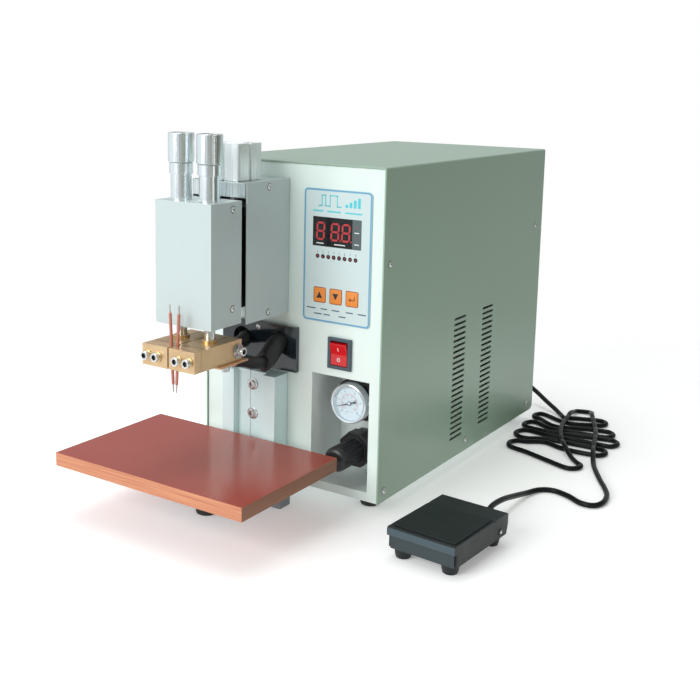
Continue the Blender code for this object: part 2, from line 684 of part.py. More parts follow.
def weld_cables():
    """Two flexible cables from behind the arms, through the insulating plate, into the cabinet."""
    left = (
        (0.054, -0.0700, 0.1460), (0.058, -0.050, 0.1460), (0.060, -0.030, 0.1500), (0.057, -0.012, 0.1530),
        (0.049, 0.002, 0.1540), (0.046, 0.020, 0.1540), (0.046, 0.040, 0.1540),
    )
    right = (
        (0.088, -0.0700, 0.1460), (0.093, -0.052, 0.1440), (0.097, -0.034, 0.1430), (0.097, -0.020, 0.1480),
        (0.095, -0.008, 0.1540), (0.094, 0.006, 0.1560), (0.094, 0.040, 0.1560),
    )
    for side, points in (("left", left), ("right", right)):
        tube(f"weld_cable_{side}", smooth_route(points, 0.010), 0.0068, BLACK_SHEET)


def pedal():
    """The foot switch: a base on moulded feet, and a treadle whose skirts swing on a pin near its rear."""
    stand = bpy.data.objects.new("pedal_frame", None)
    stand.location = (PEDAL_X, PEDAL_Y, 0.0)
    stand.rotation_euler = (0.0, 0.0, PEDAL_TURN)
    stand.parent = WELDER
    bpy.context.scene.collection.objects.link(stand)
    pin_y, pin_z = PEDAL_PIN
    inner = PEDAL_HALF_WIDTH - PEDAL_SHEET - 0.0008
    tray = box((-inner, -0.0440, 0.0085), (inner, 0.0445, 0.0200))
    base = place("pedal_base", tray, BLACK_PLASTIC, parent=stand)
    join(base, box((-0.0318, -0.0447, 0.0088), (0.0318, -0.0438, 0.0212)))
    for x in (-0.0235, 0.0235):
        for y in (-0.036, 0.036):
            join(base, turned(((0.0068, 0.0), (0.0085, 0.0095)), 16, (x, y, 0.0)))
    cord_x, cord_z = PEDAL_CORD
    join(base, rod((cord_x, 0.040, cord_z), (cord_x, 0.0510, cord_z), 0.0040, 14))
    bore = rod((-0.040, pin_y, pin_z), (0.040, pin_y, pin_z), 0.0023, 14)
    cut(base, bore)
    half, length, top = PEDAL_HALF_WIDTH, PEDAL_HALF_LENGTH, PEDAL_TOP
    origin = (0.0, pin_y, pin_z)
    treadle = place(
        "pedal_treadle", box((-half, -length, 0.0095), (half, length, top)), BLACK_PLASTIC, origin, stand
    )
    bevel(treadle, 0.0012)
    wall = PEDAL_SHEET
    cut(
        treadle,
        box((-half + wall, -length + wall, 0.0), (half - wall, length - wall, top - wall)),
        box((-0.050, -0.060, 0.0), (0.050, -0.0434, 0.0215)),
        box((-half + wall, 0.030, 0.0), (half - wall, 0.060, 0.0195)),
        rod((-0.040, pin_y, pin_z), (0.040, pin_y, pin_z), 0.0023, 14),
    )
    pin = rod((-half, pin_y, pin_z), (half, pin_y, pin_z), 0.0020, 14)
    place("pedal_pin", pin, STEEL, origin, stand)


def pedal_lead():
    """The lead: out of the gland, down to the floor, through the hank, and round to the pedal."""
    floor = CORD_RADIUS
    x, z = GLAND
    near = (
        (x, GLAND_END + GAP, z), (x, 0.404, 0.0445), (0.168, 0.420, 0.0380), (0.178, 0.432, 0.0270),
        (0.193, 0.431, 0.0180), (0.211, 0.421, 0.0110), (0.227, 0.411, 0.0060), (0.238, 0.402, 0.0032),
        (0.2470, 0.3938, floor),
    )
    tube("cord_near", smooth_route(near, 0.008), CORD_RADIUS, CORD_SHEATH)
    low = (HANK_CENTRE[0] - HANK_HALF[0], HANK_CENTRE[1] - HANK_HALF[1])
    high = (HANK_CENTRE[0] + HANK_HALF[0], HANK_CENTRE[1] + HANK_HALF[1])
    place("cord_hank", prism(rounded(low, high, HANK_CORNER), "Z", 0.0, HANK_HEIGHT), CORD_SHEATH)
    across, back = PEDAL_CORD[0], 0.0510 + GAP
    turn = Matrix.Rotation(PEDAL_TURN, 3, "Z")
    entry = Vector((PEDAL_X, PEDAL_Y, PEDAL_CORD[1])) + turn @ Vector((across, back, 0.0))
    before = entry + turn @ Vector((0.0, 0.012, -0.0008))
    far = (
        (0.3425, 0.2480, floor), (0.3480, 0.2280, floor), (0.3600, 0.2050, floor), (0.3710, 0.1800, floor),
        (0.3740, 0.1590, floor), (0.3680, 0.1460, floor), (0.3550, 0.1460, floor), (0.3380, 0.1550, floor),
        (0.3220, 0.1600, floor), (0.3100, 0.1530, floor), (0.3040, 0.1350, 0.0036), (0.3030, 0.1090, 0.0080),
        (0.3035, 0.0800, 0.0126), (0.3048, 0.0550, 0.0146), tuple(before), tuple(entry),
    )
    tube("cord_far", smooth_route(far, 0.008), CORD_RADIUS, CORD_SHEATH)


clear_scene()
WELDER = bpy.data.objects.new("spot_welder", None)
WELDER.location = (-ORIGIN_X, -ORIGIN_Y, 0.0)
bpy.context.scene.collection.objects.link(WELDER)

PANEL_PAINT = material("panel_paint", (0.80, 0.88, 0.84), 0.30)
COVER_PAINT = material("cover_paint", (0.62, 0.72, 0.66), 0.30)
HEAD_PAINT = material("head_paint", (0.70, 0.76, 0.78), 0.45)
GREY_PAINT = material("grey_paint", (0.33, 0.38, 0.40), 0.45)
RUBBER = material("rubber", (0.02, 0.02, 0.02), 0.80)
CHROME = material("chrome", (0.80, 0.82, 0.84), 0.12, 1.0)
NICKEL = material("nickel", (0.66, 0.70, 0.72), 0.25, 1.0)
STEEL = material("steel", (0.55, 0.56, 0.58), 0.35, 1.0)
ALUMINIUM = material("aluminium", (0.78, 0.82, 0.82), 0.38, 1.0)
BRASS = material("brass", (0.78, 0.60, 0.32), 0.35, 1.0)
COPPER = material("copper", (0.80, 0.42, 0.30), 0.40, 1.0)
PHENOLIC = material("phenolic", (0.52, 0.14, 0.09), 0.25)
BLACK_PLASTIC = material("black_plastic", (0.02, 0.022, 0.025), 0.45)
DARK_PLASTIC = material("dark_plastic", (0.10, 0.13, 0.17), 0.40)
BLACK_SHEET = material("black_sheet", (0.03, 0.035, 0.04), 0.25)
BLACK_ANODISED = material("black_anodised", (0.02, 0.02, 0.02), 0.45, 0.6)
OVERLAY_FILM = material("overlay_film", (0.86, 0.92, 0.93), 0.35)
KEY_ORANGE = material("key_orange", (0.85, 0.30, 0.05), 0.40)
SWITCH_RED = material("switch_red", (0.78, 0.03, 0.03), 0.30)
BOARD_GREEN = material("board_green", (0.03, 0.22, 0.10), 0.50)
LAMINATIONS = material("laminations", (0.25, 0.25, 0.27), 0.55, 0.8)
CORD_SHEATH = material("cord_sheath", (0.012, 0.012, 0.014), 0.40)

chassis()
cabinet_cover()
feet()
regulator_box()
gauge()
regulator()
control_panel()
rocker_switch()
cabinet_insides()
rear_fittings()
column()
table()
cable_plate()
slide()
head()
arms()
weld_cables()
pedal()
pedal_lead()
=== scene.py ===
"""A dual-plunger bench spot welder: sheet-metal cabinet, air-driven head, phenolic table and foot pedal.

Metres. Meshes are drawn in the cabinet's own frame, X from its left side, Y from its front, Z from the floor,
and each object is then set down at the cabinet's corner.
"""

import math
import random

import bmesh
import bpy
import numpy as np
from mathutils import Matrix, Vector


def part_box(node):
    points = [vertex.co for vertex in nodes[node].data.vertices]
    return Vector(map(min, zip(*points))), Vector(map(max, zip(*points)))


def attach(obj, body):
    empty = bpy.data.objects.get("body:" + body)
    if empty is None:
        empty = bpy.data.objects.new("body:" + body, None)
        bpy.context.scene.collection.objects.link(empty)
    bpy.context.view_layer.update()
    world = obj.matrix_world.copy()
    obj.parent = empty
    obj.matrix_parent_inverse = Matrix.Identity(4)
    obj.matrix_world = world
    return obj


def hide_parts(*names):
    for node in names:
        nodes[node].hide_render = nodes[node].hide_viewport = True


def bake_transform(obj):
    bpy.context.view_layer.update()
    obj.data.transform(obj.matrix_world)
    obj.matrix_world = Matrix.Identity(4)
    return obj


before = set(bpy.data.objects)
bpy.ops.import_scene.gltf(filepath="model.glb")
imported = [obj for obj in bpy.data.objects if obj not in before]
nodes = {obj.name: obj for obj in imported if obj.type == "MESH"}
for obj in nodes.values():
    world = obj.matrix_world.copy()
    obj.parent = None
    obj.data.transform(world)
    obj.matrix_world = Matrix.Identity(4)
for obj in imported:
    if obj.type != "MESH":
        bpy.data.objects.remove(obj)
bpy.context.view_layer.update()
cover_low, cover_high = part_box("cabinet_cover")
CORNER = Vector((cover_low.x, cover_low.y, 0.0))


# ---- Camera ----
# A long lens stands at the machine's front right, a little above the cabinet's top and turned down to it,
# with a small shift to frame the machine.

camera_data = bpy.data.cameras.new("camera")
camera_data.lens = 54.12
camera_data.shift_x = 0.0533
camera_data.shift_y = -0.1282
camera_data.clip_start = 0.05
camera = bpy.data.objects.new("camera", camera_data)
bpy.context.scene.collection.objects.link(camera)
bpy.context.scene.camera = camera
yaw, pitch, roll = (math.radians(a) for a in (33.8085, 9.7619, 0.9922))
ahead = Vector((-math.sin(yaw) * math.cos(pitch), math.cos(yaw) * math.cos(pitch), -math.sin(pitch)))
level = Vector((math.cos(yaw), math.sin(yaw), 0.0))
above = level.cross(ahead)
across = level * math.cos(roll) + above * math.sin(roll)
upward = above * math.cos(roll) - level * math.sin(roll)
facing = Matrix((across, upward, -ahead)).transposed().to_4x4()
EYE = Vector((0.6804, -0.8209, 0.4103))
camera.matrix_world = Matrix.Translation(CORNER + EYE) @ facing


# ---- Floor and studio light ----
# White paper that runs out into a white room: bright walls to the left and behind, dim ones to the right, a
# large soft box at the front left, another overhead, and a narrow strip at the right for a line in the metal.


def plain(name, colour, roughness, metallic=0.0):
    """A new material and its nodes, links and main shader, with one colour to begin with."""
    made = bpy.data.materials.new(name)
    made.use_nodes = True
    tree = made.node_tree
    shader = tree.nodes["Principled BSDF"]
    shader.inputs["Base Color"].default_value = (*colour, 1.0)
    shader.inputs["Roughness"].default_value = roughness
    shader.inputs["Metallic"].default_value = metallic
    return made, tree, shader


def to_white(tree, is_seen, colour):
    """The colour, or white where the camera looks straight at it."""
    mix = tree.nodes.new("ShaderNodeMix")
    mix.data_type = "RGBA"
    mix.inputs[7].default_value = (1.0, 1.0, 1.0, 1.0)
    tree.links.new(is_seen, mix.inputs[0])
    tree.links.new(colour, mix.inputs[6])
    return mix.outputs[2]


floor_paper, paper_tree, paper_shader = plain("floor_paper", (0.93, 0.93, 0.93), 0.9)
reach = paper_tree.nodes.new("ShaderNodeVectorMath")
reach.operation = "LENGTH"
paper_tree.links.new(paper_tree.nodes.new("ShaderNodeTexCoord").outputs["Object"], reach.inputs[0])
fade = paper_tree.nodes.new("ShaderNodeMapRange")
fade.inputs["From Min"].default_value = 0.40
fade.inputs["From Max"].default_value = 0.85
paper_tree.links.new(reach.outputs["Value"], fade.inputs["Value"])
open_air = paper_tree.nodes.new("ShaderNodeMixShader")
paper_tree.links.new(fade.outputs[0], open_air.inputs[0])
paper_tree.links.new(paper_shader.outputs[0], open_air.inputs[1])
paper_tree.links.new(paper_tree.nodes.new("ShaderNodeBsdfTransparent").outputs[0], open_air.inputs[2])
paper_tree.links.new(open_air.outputs[0], paper_tree.nodes["Material Output"].inputs["Surface"])
paper_shader.inputs["Emission Color"].default_value = (1.0, 1.0, 1.0, 1.0)
paper_shader.inputs["Emission Strength"].default_value = 0.25
floor_mesh = bpy.data.meshes.new("floor")
floor_mesh.from_pydata([(-2, -2, 0), (2, -2, 0), (2, 2, 0), (-2, 2, 0)], [], [(0, 1, 2, 3)])
floor_mesh.materials.append(floor_paper)
floor = bpy.data.objects.new("floor", floor_mesh)
floor.location = (0.0, 0.0, -0.0002)
bpy.context.scene.collection.objects.link(floor)

world = bpy.data.worlds.new("studio")
world.use_nodes = True
room = world.node_tree
heading = room.nodes.new("ShaderNodeSeparateXYZ")
room.links.new(room.nodes.new("ShaderNodeTexCoord").outputs["Generated"], heading.inputs[0])
forward = room.nodes.new("ShaderNodeMath")
forward.operation = "MULTIPLY"
forward.inputs[1].default_value = -1.0
room.links.new(heading.outputs["Y"], forward.inputs[0])
compass = room.nodes.new("ShaderNodeMath")
compass.operation = "ARCTAN2"
room.links.new(heading.outputs["X"], compass.inputs[0])
room.links.new(forward.outputs[0], compass.inputs[1])
share = room.nodes.new("ShaderNodeMapRange")
share.inputs["From Min"].default_value = -math.pi
share.inputs["From Max"].default_value = math.pi
room.links.new(compass.outputs[0], share.inputs["Value"])
walls = room.nodes.new("ShaderNodeValToRGB")
COOL, WARM = Vector((0.96, 1.0, 1.02)), Vector((1.0, 1.03, 0.90))
stops = ((-180, 0.58, COOL), (-137, 0.48, COOL), (-90, 0.85, COOL), (-50, 0.90, COOL), (-14, 0.66, COOL),
         (18, 0.42, COOL),
         (50, 0.36, WARM), (78, 0.24, WARM), (96, 0.13, WARM), (125, 0.14, WARM), (146, 0.34, WARM),
         (160, 0.55, COOL),
         (180, 0.58, COOL))
for number, (degrees, brightness, tint) in enumerate(stops):
    ramp = walls.color_ramp.elements
    stop = ramp[0] if number == 0 else ramp[-1] if number == len(stops) - 1 else ramp.new(degrees / 360 + 0.5)
    stop.color = (*(tint * brightness), 1.0)
room.links.new(share.outputs[0], walls.inputs[0])
camera_sees = room.nodes.new("ShaderNodeLightPath").outputs["Is Camera Ray"]
room.links.new(to_white(room, camera_sees, walls.outputs[0]), room.nodes["Background"].inputs["Color"])
bpy.context.scene.world = world
bpy.context.scene.view_settings.view_transform = "Standard"


def area_light(name, place, aim, size, power):
    light = bpy.data.lights.new(name, "AREA")
    light.shape = "RECTANGLE"
    light.size, light.size_y = size
    light.energy = power
    lamp = bpy.data.objects.new(name, light)
    lamp.location = place
    lamp.rotation_euler = (Vector(aim) - Vector(place)).to_track_quat("-Z", "Y").to_euler()
    bpy.context.scene.collection.objects.link(lamp)


area_light("front_left_box", (-0.5, -2.1, 1.0), (0, 0, 0.18), (1.3, 1.1), 32)
area_light("overhead_box", (-0.3, 0.2, 1.9), (0, 0, 0.1), (1.6, 1.2), 13)
area_light("right_strip", (1.75, -0.55, 0.5), (0, 0, 0.2), (0.10, 1.2), 2.2)


# ---- Lead of the pedal ----
# A limp two-core lead in a black sheath. It leaves a gland low on the back, drops to the floor, lies there in
# a loosely folded hank, and comes forward in one bow and one back turn to the rear of the pedal.


def add(tree, kind, inputs=(), **settings):
    """A shader node with its settings made, and its inputs, by name or number, linked or set."""
    node = tree.nodes.new("ShaderNode" + kind)
    for key, value in settings.items():
        setattr(node, key, value)
    for key, value in dict(inputs).items():
        if isinstance(value, bpy.types.NodeSocket):
            tree.links.new(value, node.inputs[key])
        else:
            node.inputs[key].default_value = value
    return node


def effect(name, inputs, outputs):
    """A new shader node group with named sockets. Returns its tree and the two ends inside it."""
    tree = bpy.data.node_groups.new(name, "ShaderNodeTree")
    for socket, kind, value in inputs:
        made = tree.interface.new_socket(socket, in_out="INPUT", socket_type="NodeSocket" + kind)
        made.default_value = value
    for socket, kind in outputs:
        tree.interface.new_socket(socket, in_out="OUTPUT", socket_type="NodeSocket" + kind)
    return tree, tree.nodes.new("NodeGroupInput").outputs, tree.nodes.new("NodeGroupOutput").inputs


def cloud(tree, place, scale, low, high, detail=3.0):
    """A noise whose value goes from low to high."""
    noise_node = add(tree, "TexNoise", {"Vector": place, "Scale": scale, "Detail": detail})
    limits = {"Value": noise_node.outputs[0], "From Min": 0.25, "From Max": 0.75, "To Min": low,
              "To Max": high}
    return add(tree, "MapRange", limits).outputs[0]


def blended(tree, share, first, second):
    return add(tree, "Mix", {0: share, 6: first, 7: second}, data_type="RGBA").outputs[2]


def counted(tree, operation, first, second=0.0):
    return add(tree, "Math", {0: first, 1: second}, operation=operation, use_clamp=True).outputs[0]


# Moulded skin: a fine grain in rubber or plastic, uneven gloss, and a little pale dust on what faces up.
moulded_skin, given, gives = effect(
    "moulded_skin",
    [("Colour", "Color", (0.02, 0.02, 0.02, 1)), ("Dust", "Color", (0.30, 0.30, 0.29, 1)),
     ("Dust Share", "Float", 0.2), ("Grain Scale", "Float", 1500.0), ("Grain Depth", "Float", 0.15),
     ("Roughness", "Float", 0.45)],
    [("Colour", "Color"), ("Roughness", "Float"), ("Normal", "Vector")],
)
spot = add(moulded_skin, "TexCoord").outputs["Object"]
up = add(moulded_skin, "SeparateXYZ", {0: add(moulded_skin, "NewGeometry").outputs["Normal"]}).outputs[2]
patches = cloud(moulded_skin, spot, 60.0, 0.0, 1.0, 5.0)
settled = counted(moulded_skin, "MULTIPLY", counted(moulded_skin, "MULTIPLY", up, patches),
                  given["Dust Share"])
moulded_skin.links.new(blended(moulded_skin, settled, given["Colour"], given["Dust"]), gives["Colour"])
uneven = cloud(moulded_skin, spot, 25.0, -0.06, 0.10)
duller = add(moulded_skin, "Math", {0: given["Roughness"], 1: uneven}, operation="ADD").outputs[0]
moulded_skin.links.new(counted(moulded_skin, "ADD", duller, counted(moulded_skin, "MULTIPLY", settled, 0.4)),
                       gives["Roughness"])
grain = add(moulded_skin, "TexNoise",
            {"Vector": spot, "Scale": given["Grain Scale"], "Detail": 2.0}).outputs[0]
bumped = add(moulded_skin, "Bump", {"Height": grain, "Strength": given["Grain Depth"], "Distance": 0.0002})
moulded_skin.links.new(bumped.outputs[0], gives["Normal"])


def finish(name, colour, roughness, group, values, metallic=0.0, specular=0.5, coat=0.0, coat_roughness=0.1):
    """A material whose colour, roughness and normal come from one of the effects, with its own values."""
    made, tree, shader = plain(name, colour, roughness, metallic)
    shader.inputs["Specular IOR Level"].default_value = specular
    shader.inputs["Coat Weight"].default_value = coat
    shader.inputs["Coat Roughness"].default_value = coat_roughness
    texture = tree.nodes.new("ShaderNodeGroup")
    texture.node_tree = group
    texture.inputs["Colour"].default_value = (*colour, 1.0)
    texture.inputs["Roughness"].default_value = roughness
    for key, value in values.items():
        texture.inputs[key].default_value = value
    tree.links.new(texture.outputs["Colour"], shader.inputs["Base Color"])
    tree.links.new(texture.outputs["Roughness"], shader.inputs["Roughness"])
    tree.links.new(texture.outputs["Normal"], shader.inputs["Normal"])
    return made


LEAD_RADIUS = 0.0028
PEDAL_PLACE = Vector((0.295, -0.022, 0.0))
PEDAL_TURN = Matrix.Rotation(math.radians(-3.6), 3, "Z")


def along_curve(points, step):
    """Points about a step apart on a smooth curve through the given ones."""
    knots = [Vector(p) for p in points]
    padded = [2 * knots[0] - knots[1], *knots, 2 * knots[-1] - knots[-2]]
    fine = []
    for a, b, c, d in zip(padded, padded[1:], padded[2:], padded[3:]):
        for k in range(40):
            t = k / 40
            fine.append(
                0.5 * (2 * b + (c - a) * t + (2 * a - 5 * b + 4 * c - d) * t * t
                       + (3 * b - a - 3 * c + d) * t ** 3)
            )
    fine.append(knots[-1])
    reach = [0.0]
    for p, q in zip(fine, fine[1:]):
        reach.append(reach[-1] + (q - p).length)
    count = max(2, round(reach[-1] / step))
    even = np.linspace(0.0, reach[-1], count + 1)
    spaced = np.column_stack([np.interp(even, reach, [p[k] for p in fine]) for k in range(3)])
    return [Vector(p) for p in spaced]


def laid_down(points, radius, hump):
    """Lays points that run along the floor on top of whatever was laid before them, in long low humps."""
    flat = np.array([(p.x, p.y) for p in points])
    own = np.array([p.z for p in points])
    run = np.concatenate([[0.0], np.cumsum(np.linalg.norm(np.diff(flat, axis=0), axis=1))])
    height = own.copy()
    apart = np.linalg.norm(flat[:, None] - flat[None], axis=2)
    later = (run[:, None] - run[None]) > 6 * radius
    near = later & (apart < 2.1 * radius)
    rows, columns = np.nonzero(near)
    rise = 2.15 * radius * np.sqrt(1.0 - (apart[rows, columns] / (2.15 * radius)) ** 2)
    along = np.abs(run[:, None] - run[None])
    fall = np.where(along < hump, 0.5 - 0.5 * np.cos(math.pi * along / hump), 1.0)
    for _ in range(14):
        need = own.copy()
        np.maximum.at(need, rows, height[columns] + rise)
        lift = need - own
        height = own + np.max(lift[None] * (1.0 - fall), axis=1)
    return [Vector((x, y, z)) for (x, y), z in zip(flat, height)]


def lead_curve(name, points, radius, finish, resolution=3):
    curve = bpy.data.curves.new(name, "CURVE")
    curve.dimensions = "3D"
    curve.bevel_depth = radius
    curve.bevel_resolution = resolution
    curve.use_fill_caps = True
    spline = curve.splines.new("POLY")
    spline.points.add(len(points) - 1)
    for point, spot in zip(spline.points, points):
        point.co = (*spot, 1.0)
    spline.use_smooth = True
    curve.materials.append(finish)
    made = bpy.data.objects.new(name, curve)
    made.location = CORNER
    bpy.context.scene.collection.objects.link(made)
    return made


gland_end = (0.165, 0.3920, 0.0450)
lead_near = [
    gland_end, (0.165, 0.404, 0.0445), (0.168, 0.420, 0.0380), (0.178, 0.432, 0.0270), (0.193, 0.431, 0.0180),
    (0.211, 0.421, 0.0110), (0.227, 0.411, 0.0060), (0.238, 0.402, 0.0032), (0.2470, 0.3938, LEAD_RADIUS),
]
pedal_entry = PEDAL_PLACE + PEDAL_TURN @ Vector((0.0035, 0.0513, 0.0153))
lead_far = [
    (0.3503, 0.2187, LEAD_RADIUS), (0.3620, 0.1990, LEAD_RADIUS), (0.3710, 0.1800, LEAD_RADIUS),
    (0.3740, 0.1600, LEAD_RADIUS), (0.3690, 0.1470, LEAD_RADIUS), (0.3560, 0.1455, LEAD_RADIUS),
    (0.3390, 0.1555, LEAD_RADIUS), (0.3220, 0.1600, LEAD_RADIUS), (0.3100, 0.1530, LEAD_RADIUS),
    (0.3040, 0.1350, 0.0040), (0.3028, 0.1090, 0.0095), (0.3025, 0.0800, 0.0155), (0.3025, 0.0560, 0.0177),
    tuple(pedal_entry + PEDAL_TURN @ Vector((0.0015, 0.012, 0.0016))), tuple(pedal_entry),
]


def bight(tip, facing, radius, sweep):
    """Five points round a half turn, given its outermost point and direction; sweep is +1 to turn left."""
    facing = math.radians(facing)
    middle = Vector(tip) - radius * Vector((math.cos(facing), math.sin(facing)))
    turns = [facing + sweep * math.radians(a) for a in (-90, -45, 0, 45, 90)]
    return [(middle.x + radius * math.cos(t), middle.y + radius * math.sin(t), LEAD_RADIUS) for t in turns]


def flat(*spots):
    return [(x, y, LEAD_RADIUS) for x, y in spots]


hank = [
    *flat((0.2620, 0.4010)), *bight((0.2960, 0.4010), 14, 0.0098, -1), *flat((0.2560, 0.3760)),
    *bight((0.2120, 0.3790), 190, 0.0105, 1), *flat((0.2500, 0.3550), (0.2820, 0.3670)),
    *bight((0.3170, 0.3640), 10, 0.0112, -1), *flat((0.2760, 0.3475), (0.2480, 0.3440)),
    *bight((0.2150, 0.3400), 196, 0.0125, 1), *flat((0.2500, 0.3310), (0.2880, 0.3390)),
    *bight((0.3310, 0.3370), 12, 0.0115, -1), *flat((0.2860, 0.3225), (0.2520, 0.3190)),
    *bight((0.2200, 0.3030), 200, 0.0145, 1), *flat((0.2580, 0.3045), (0.2960, 0.3080)),
    *bight((0.3300, 0.2980), 4, 0.0112, -1), *flat((0.2860, 0.2850), (0.2600, 0.2935)),
    *bight((0.2275, 0.2685), 180, 0.0150, 1), *flat((0.2560, 0.2500), (0.2840, 0.2390)),
    *bight((0.3208, 0.2375), -18, 0.0112, 1),
    *flat((0.2920, 0.2760), (0.2740, 0.3080), (0.2600, 0.3480), (0.2530, 0.3870)),
    *bight((0.2618, 0.4322), 78, 0.0115, -1), *flat((0.2790, 0.4000), (0.2910, 0.3720), (0.3034, 0.3403)),
    *flat((0.3173, 0.2926), (0.3313, 0.2550)),
]
LEAD_SHEATH = finish("lead_sheath", (0.004, 0.005, 0.006), 0.30, moulded_skin,
                     {"Dust Share": 0.015, "Grain Scale": 900.0, "Grain Depth": 0.08}, specular=0.16)
route = along_curve([*lead_near, *hank, *lead_far], 0.0025)
route = laid_down(route, LEAD_RADIUS, 0.034)
lead = lead_curve("pedal_lead", route, LEAD_RADIUS, LEAD_SHEATH)
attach(lead, "cabinet")
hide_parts("cord_near", "cord_hank", "cord_far")


# ---- Cabinet cover ----
# The top and both sides are one folded steel sheet, sprayed a pale grey green, but coloured much darker than
# that paint:
# painted shade for sides that face away from the light. The bends have a small radius, the lower rear corners
# are cut round, and both sides have two columns of punched vents.


def object_of(name, mesh, skin, angle=35):
    """An object of a bmesh that was drawn in the cabinet's frame."""
    data = bpy.data.meshes.new(name)
    mesh.to_mesh(data)
    mesh.free()
    data.shade_smooth()
    data.set_sharp_from_angle(angle=math.radians(angle))
    data.materials.append(skin)
    made = bpy.data.objects.new(name, data)
    made.location = CORNER
    bpy.context.scene.collection.objects.link(made)
    return made


def eased(obj, width, segments=2, angle=30):
    """Breaks the sharp edges with a small round."""
    change = obj.modifiers.new("eased", "BEVEL")
    change.width = width
    change.segments = segments
    change.limit_method = "ANGLE"
    change.angle_limit = math.radians(angle)
    change.harden_normals = True
    return obj


def goes_with(obj, body, slot_name, *replaced):
    """Fixes an object to a body, unless that is None, and hides the nodes it replaces. Its slot name is not
    used.
    """
    if body:
        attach(obj, body)
    if replaced:
        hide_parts(*replaced)
    return obj


# A thin line along the corners of a solid, where a coat is thinner and metal is rubbed bright.
edge_line, given, gives = effect("edge_line", [("Width", "Float", 0.0006)], [("Mask", "Float")])
round_corner = add(edge_line, "Bevel", {"Radius": given["Width"]}, samples=4).outputs[0]
true_normal = add(edge_line, "NewGeometry").outputs["Normal"]
turn = add(edge_line, "VectorMath", {0: round_corner, 1: true_normal},
           operation="DOT_PRODUCT").outputs["Value"]
mask = add(edge_line, "MapRange",
           {"Value": turn, "From Min": 0.985, "From Max": 0.80, "To Min": 0.0, "To Max": 1.0})
edge_line.links.new(mask.outputs[0], gives["Mask"])

# Sprayed coat: a faint orange peel, slow changes of shade, and a paler line where it thins at the edges.
sprayed_coat, given, gives = effect(
    "sprayed_coat",
    [("Colour", "Color", (0.7, 0.8, 0.75, 1)), ("Shade", "Color", (0.6, 0.7, 0.65, 1)),
     ("Edge", "Color", (0.9, 0.95, 0.93, 1)), ("Edge Share", "Float", 0.35), ("Peel Depth", "Float", 0.10),
     ("Roughness", "Float", 0.3)],
    [("Colour", "Color"), ("Roughness", "Float"), ("Normal", "Vector")],
)
spot = add(sprayed_coat, "TexCoord").outputs["Object"]
drift = cloud(sprayed_coat, spot, 7.0, 0.0, 1.0, 2.0)
specks = cloud(sprayed_coat, spot, 900.0, 0.0, 0.25, 2.0)
coloured = blended(sprayed_coat, counted(sprayed_coat, "MULTIPLY", drift, 0.45), given["Colour"],
                   given["Shade"])
coloured = blended(sprayed_coat, counted(sprayed_coat, "MULTIPLY", specks, 0.3), coloured, given["Shade"])
line = sprayed_coat.nodes.new("ShaderNodeGroup")
line.node_tree = edge_line
line.inputs["Width"].default_value = 0.0007
share = counted(sprayed_coat, "MULTIPLY", line.outputs["Mask"], given["Edge Share"])
sprayed_coat.links.new(blended(sprayed_coat, share, coloured, given["Edge"]), gives["Colour"])
uneven = cloud(sprayed_coat, spot, 6.0, -0.01, 0.02, 1.0)
sprayed_coat.links.new(counted(sprayed_coat, "ADD", given["Roughness"], uneven), gives["Roughness"])
peel = add(sprayed_coat, "TexNoise", {"Vector": spot, "Scale": 520.0, "Detail": 1.5}).outputs[0]
bumped = add(sprayed_coat, "Bump", {"Height": peel, "Strength": given["Peel Depth"], "Distance": 0.0003})
sprayed_coat.links.new(bumped.outputs[0], gives["Normal"])

# Painted shade: the cover's colour is set darker than its pale paint, so that the sides read as in shade.
COVER_COAT_PAINTED_SHADE = finish(
    "cover_coat_painted_shade", (0.31, 0.44, 0.34), 0.30, sprayed_coat,
    {"Shade": (0.295, 0.425, 0.325, 1), "Edge": (0.66, 0.74, 0.70, 1), "Edge Share": 0.5,
     "Peel Depth": 0.035},
    coat=0.12, coat_roughness=0.15,
)
SHEET = 0.0015
WIDTH = cover_high.x - cover_low.x
DEPTH = cover_high.y - cover_low.y
BASE, TOP = cover_low.z, cover_high.z
BEND = 0.0022
REAR_CORNER = 0.006
VENT_ROWS = 23
VENT_PITCH = 0.00594
VENT_HEIGHT = 0.0026
VENT_LOW = 0.0339
VENT_COLUMNS = ((0.1505, 0.1785), (0.2195, 0.2465))

rises = [BASE + REAR_CORNER * (1 - math.cos(math.pi / 2 * k / 6)) for k in range(7)]
for row in range(VENT_ROWS):
    rises += [VENT_LOW + row * VENT_PITCH, VENT_LOW + row * VENT_PITCH + VENT_HEIGHT]
rises += [0.200, 0.250, TOP - BEND]
bends = [math.pi / 2 * k / 5 for k in range(1, 6)]
section = [(0.0, z) for z in rises]
section += [(BEND - BEND * math.cos(t), TOP - BEND + BEND * math.sin(t)) for t in bends]
section += [(WIDTH - x, z) for x, z in reversed(section)]
runs = [0.0, 0.004, *VENT_COLUMNS[0], *VENT_COLUMNS[1], 0.330, DEPTH - 0.001, DEPTH]


def rear_edge(z):
    """How far back a side reaches at a height, round its lower corner."""
    drop = max(0.0, BASE + REAR_CORNER - z)
    return DEPTH - REAR_CORNER + math.sqrt(REAR_CORNER ** 2 - drop ** 2)


vent_rows = {2 * row + 6 + 1 for row in range(VENT_ROWS)}
vent_runs = {2, 4}
mesh = bmesh.new()
grid = []
for x, z in section:
    pull = DEPTH - rear_edge(z)
    grid.append([mesh.verts.new((x, y - pull if y > 0.35 else y, z)) for y in runs])
steps = len(section)
for i in range(steps - 1):
    level_row = min(i, steps - 2 - i)
    for j in range(len(runs) - 1):
        if level_row in vent_rows and j in vent_runs:
            continue
        mesh.faces.new((grid[i][j], grid[i][j + 1], grid[i + 1][j + 1], grid[i + 1][j]))
bmesh.ops.recalc_face_normals(mesh, faces=mesh.faces)
cover = object_of("cover_sheet", mesh, COVER_COAT_PAINTED_SHADE)
folded = cover.modifiers.new("sheet", "SOLIDIFY")
folded.thickness = SHEET
folded.offset = -1.0
eased(cover, 0.00025, 2, 50)
goes_with(cover, "cabinet", "cover_paint", "cabinet_cover")
